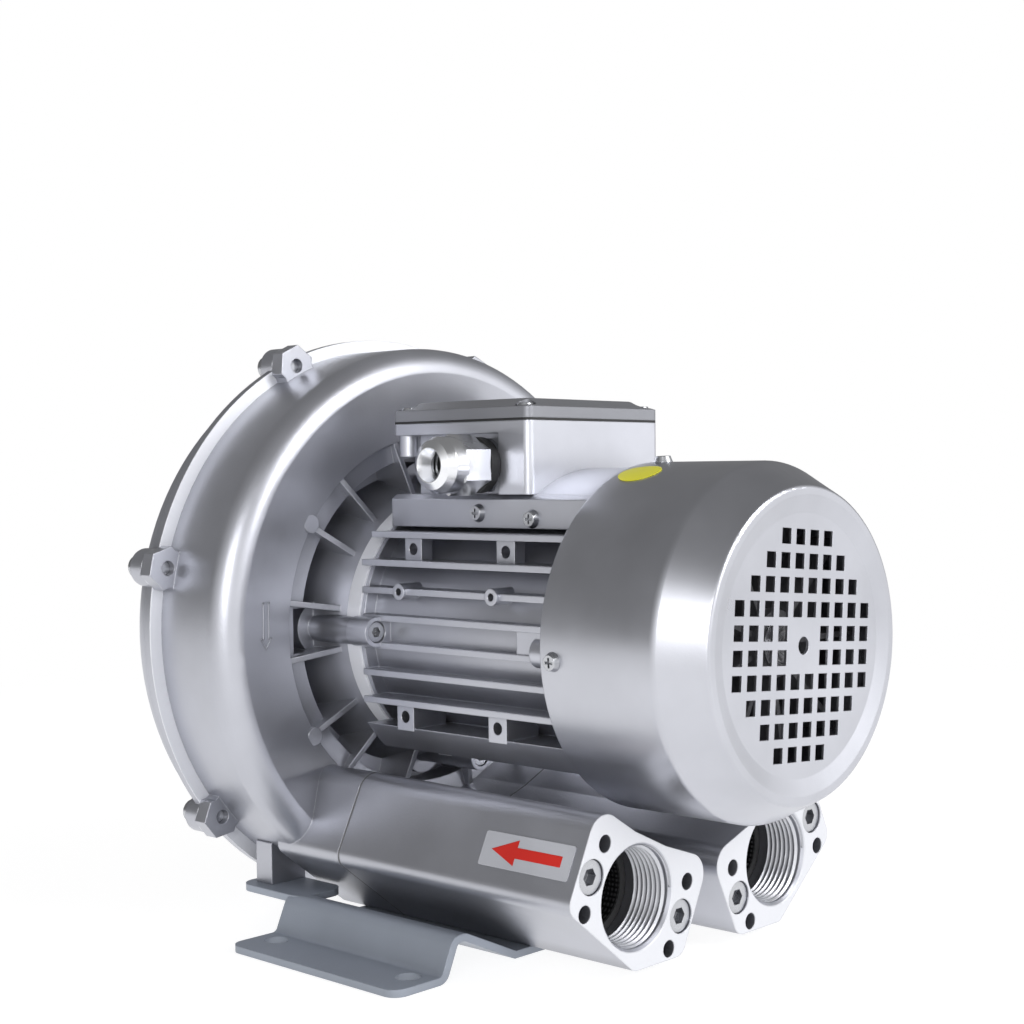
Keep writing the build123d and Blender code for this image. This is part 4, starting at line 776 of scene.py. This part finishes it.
class BLOWER_OT_studio(BlowerStep):
    """Makes the floor, the lamps, the world and the camera"""

    bl_idname = "blower.studio"
    bl_label = "Studio"

    def execute(self, context):
        self.floor()
        self.world()
        self.lamps()
        self.camera()
        scene = bpy.context.scene
        scene.view_settings.view_transform = "Standard"
        return {"FINISHED"}

    def floor(self):
        mesh = bpy.data.meshes.new("floor")
        build = bmesh.new()
        signs = ((-1, -1), (1, -1), (1, 1), (-1, 1))
        corners = [build.verts.new((x * floor_half, y * floor_half, -floor_gap)) for x, y in signs]
        build.faces.new(corners)
        build.to_mesh(mesh)
        build.free()
        material = bpy.data.materials.new("pale_floor")
        material.use_nodes = True
        tree = material.node_tree
        tree.nodes.clear()
        matt = add(tree, "ShaderNodeBsdfDiffuse", None, Color=floor_grey)
        glow = add(tree, "ShaderNodeEmission", None, Color=(1, 1, 1, 1), Strength=floor_glow)
        white = add(tree, "ShaderNodeEmission", None, Color=(1, 1, 1, 1), Strength=1.0)
        near = tree.nodes.new("ShaderNodeAddShader")
        tree.links.new(matt.outputs[0], near.inputs[0])
        tree.links.new(glow.outputs[0], near.inputs[1])
        place = tree.nodes.new("ShaderNodeTexCoord").outputs["Object"]
        reach = add(tree, "ShaderNodeVectorMath", {"operation": "LENGTH"})
        tree.links.new(place, reach.inputs[0])
        far = spread(tree, reach.outputs["Value"], 0.4, 1.0)
        mix = tree.nodes.new("ShaderNodeMixShader")
        tree.links.new(far, mix.inputs[0])
        tree.links.new(near.outputs[0], mix.inputs[1])
        tree.links.new(white.outputs[0], mix.inputs[2])
        output = tree.nodes.new("ShaderNodeOutputMaterial")
        tree.links.new(mix.outputs[0], output.inputs["Surface"])
        mesh.materials.append(material)
        floor = bpy.data.objects.new("floor", mesh)
        bpy.context.scene.collection.objects.link(floor)

    def world(self):
        world = bpy.data.worlds.new("studio")
        bpy.context.scene.world = world
        world.use_nodes = True
        tree = world.node_tree
        tree.nodes.clear()
        rays = tree.nodes.new("ShaderNodeLightPath").outputs
        towards = tree.nodes.new("ShaderNodeTexCoord").outputs["Generated"]
        parts = add(tree, "ShaderNodeSeparateXYZ", None, Vector=towards)
        lean = add(tree, "ShaderNodeVectorMath", {"operation": "DOT_PRODUCT"})
        lean.inputs[1].default_value = bright_direction
        tree.links.new(towards, lean.inputs[0])
        bright_side = spread(tree, lean.outputs["Value"], -0.35, 0.5)
        low_band = spread(tree, parts.outputs["Z"], 0.75, 0.15)
        lobe = maths(tree, "MULTIPLY", bright_side, low_band)
        strength = maths(tree, "MULTIPLY_ADD", lobe, front_light, all_round_light)
        light = add(tree, "ShaderNodeBackground", None, Color=(1, 1, 1, 1), Strength=strength)
        white = add(tree, "ShaderNodeBackground", None, Color=(1, 1, 1, 1), Strength=1.0)
        mix = tree.nodes.new("ShaderNodeMixShader")
        tree.links.new(rays["Is Camera Ray"], mix.inputs[0])
        tree.links.new(light.outputs[0], mix.inputs[1])
        tree.links.new(white.outputs[0], mix.inputs[2])
        output = tree.nodes.new("ShaderNodeOutputWorld")
        tree.links.new(mix.outputs[0], output.inputs["Surface"])

    def lamps(self):
        target = Vector((0, 0, axis_height))
        for name, place, size, power, mirrored in (
            ("key_lamp", (0.5, -1.5, 1.0), 0.9, 16.0, True),
            ("fill_lamp", (-1.4, -0.9, 0.6), 0.6, 6.0, True),
            ("rear_lamp", (0.4, 1.3, 1.3), 0.8, 5.0, False),
        ):
            lamp = bpy.data.lights.new(name, "AREA")
            lamp.shape, lamp.size, lamp.energy = "SQUARE", size, power
            made = bpy.data.objects.new(name, lamp)
            made.location = place
            made.visible_glossy = mirrored
            made.rotation_euler = (target - Vector(place)).to_track_quat("-Z", "Y").to_euler()
            bpy.context.scene.collection.objects.link(made)

    def camera(self):
        yaw, pitch, roll = (math.radians(angle) for angle in camera_angles)
        ahead = Vector((math.sin(yaw) * math.cos(pitch), math.cos(yaw) * math.cos(pitch), -math.sin(pitch)))
        level = Vector((math.cos(yaw), -math.sin(yaw), 0.0))
        upright = level.cross(ahead)
        right = level * math.cos(roll) + upright * math.sin(roll)
        up = upright * math.cos(roll) - level * math.sin(roll)
        place = Vector((-camera_side, cover_front - camera_ahead, camera_height))
        lens = bpy.data.cameras.new("camera")
        lens.sensor_width, lens.lens = 36.0, 59.86
        lens.shift_x, lens.shift_y = -0.0923, 0.0425
        lens.clip_start = 0.01
        camera = bpy.data.objects.new("camera", lens)
        turn = Matrix((right, up, -ahead)).transposed().to_4x4()
        camera.matrix_world = Matrix.Translation(place) @ turn
        bpy.context.scene.collection.objects.link(camera)
        bpy.context.scene.camera = camera


STEPS = (
    BLOWER_OT_shared_effects,
    BLOWER_OT_castings,
    BLOWER_OT_cowl,
    BLOWER_OT_silencers,
    BLOWER_OT_terminal_box,
    BLOWER_OT_gland,
    BLOWER_OT_rotor,
    BLOWER_OT_fasteners,
    BLOWER_OT_base_plate,
    BLOWER_OT_labels,
    BLOWER_OT_studio,
)


class BLOWER_PT_panel(bpy.types.Panel):
    """Lists the steps, sizes and colours of the blower"""

    bl_label = "Side channel blower"
    bl_space_type = "VIEW_3D"
    bl_region_type = "UI"
    bl_category = "Blower"

    def draw(self, context):
        for step in STEPS:
            self.layout.operator(step.bl_idname)
        for group in (context.scene.blower_sizes, context.scene.blower_colours):
            for name in group.bl_rna.properties.keys():
                if name not in ("rna_type", "name"):
                    self.layout.prop(group, name)


CLASSES = (BlowerSizes, BlowerColours, *STEPS, BLOWER_PT_panel)


def register():
    for item in CLASSES:
        bpy.utils.register_class(item)
    bpy.types.Scene.blower_sizes = PointerProperty(type=BlowerSizes)
    bpy.types.Scene.blower_colours = PointerProperty(type=BlowerColours)


def unregister():
    del bpy.types.Scene.blower_colours
    del bpy.types.Scene.blower_sizes
    for item in reversed(CLASSES):
        bpy.utils.unregister_class(item)


def main():
    register()
    for step in STEPS:
        area, name = step.bl_idname.split(".")
        getattr(getattr(bpy.ops, area), name)()


if __name__ == "__main__":
    main()
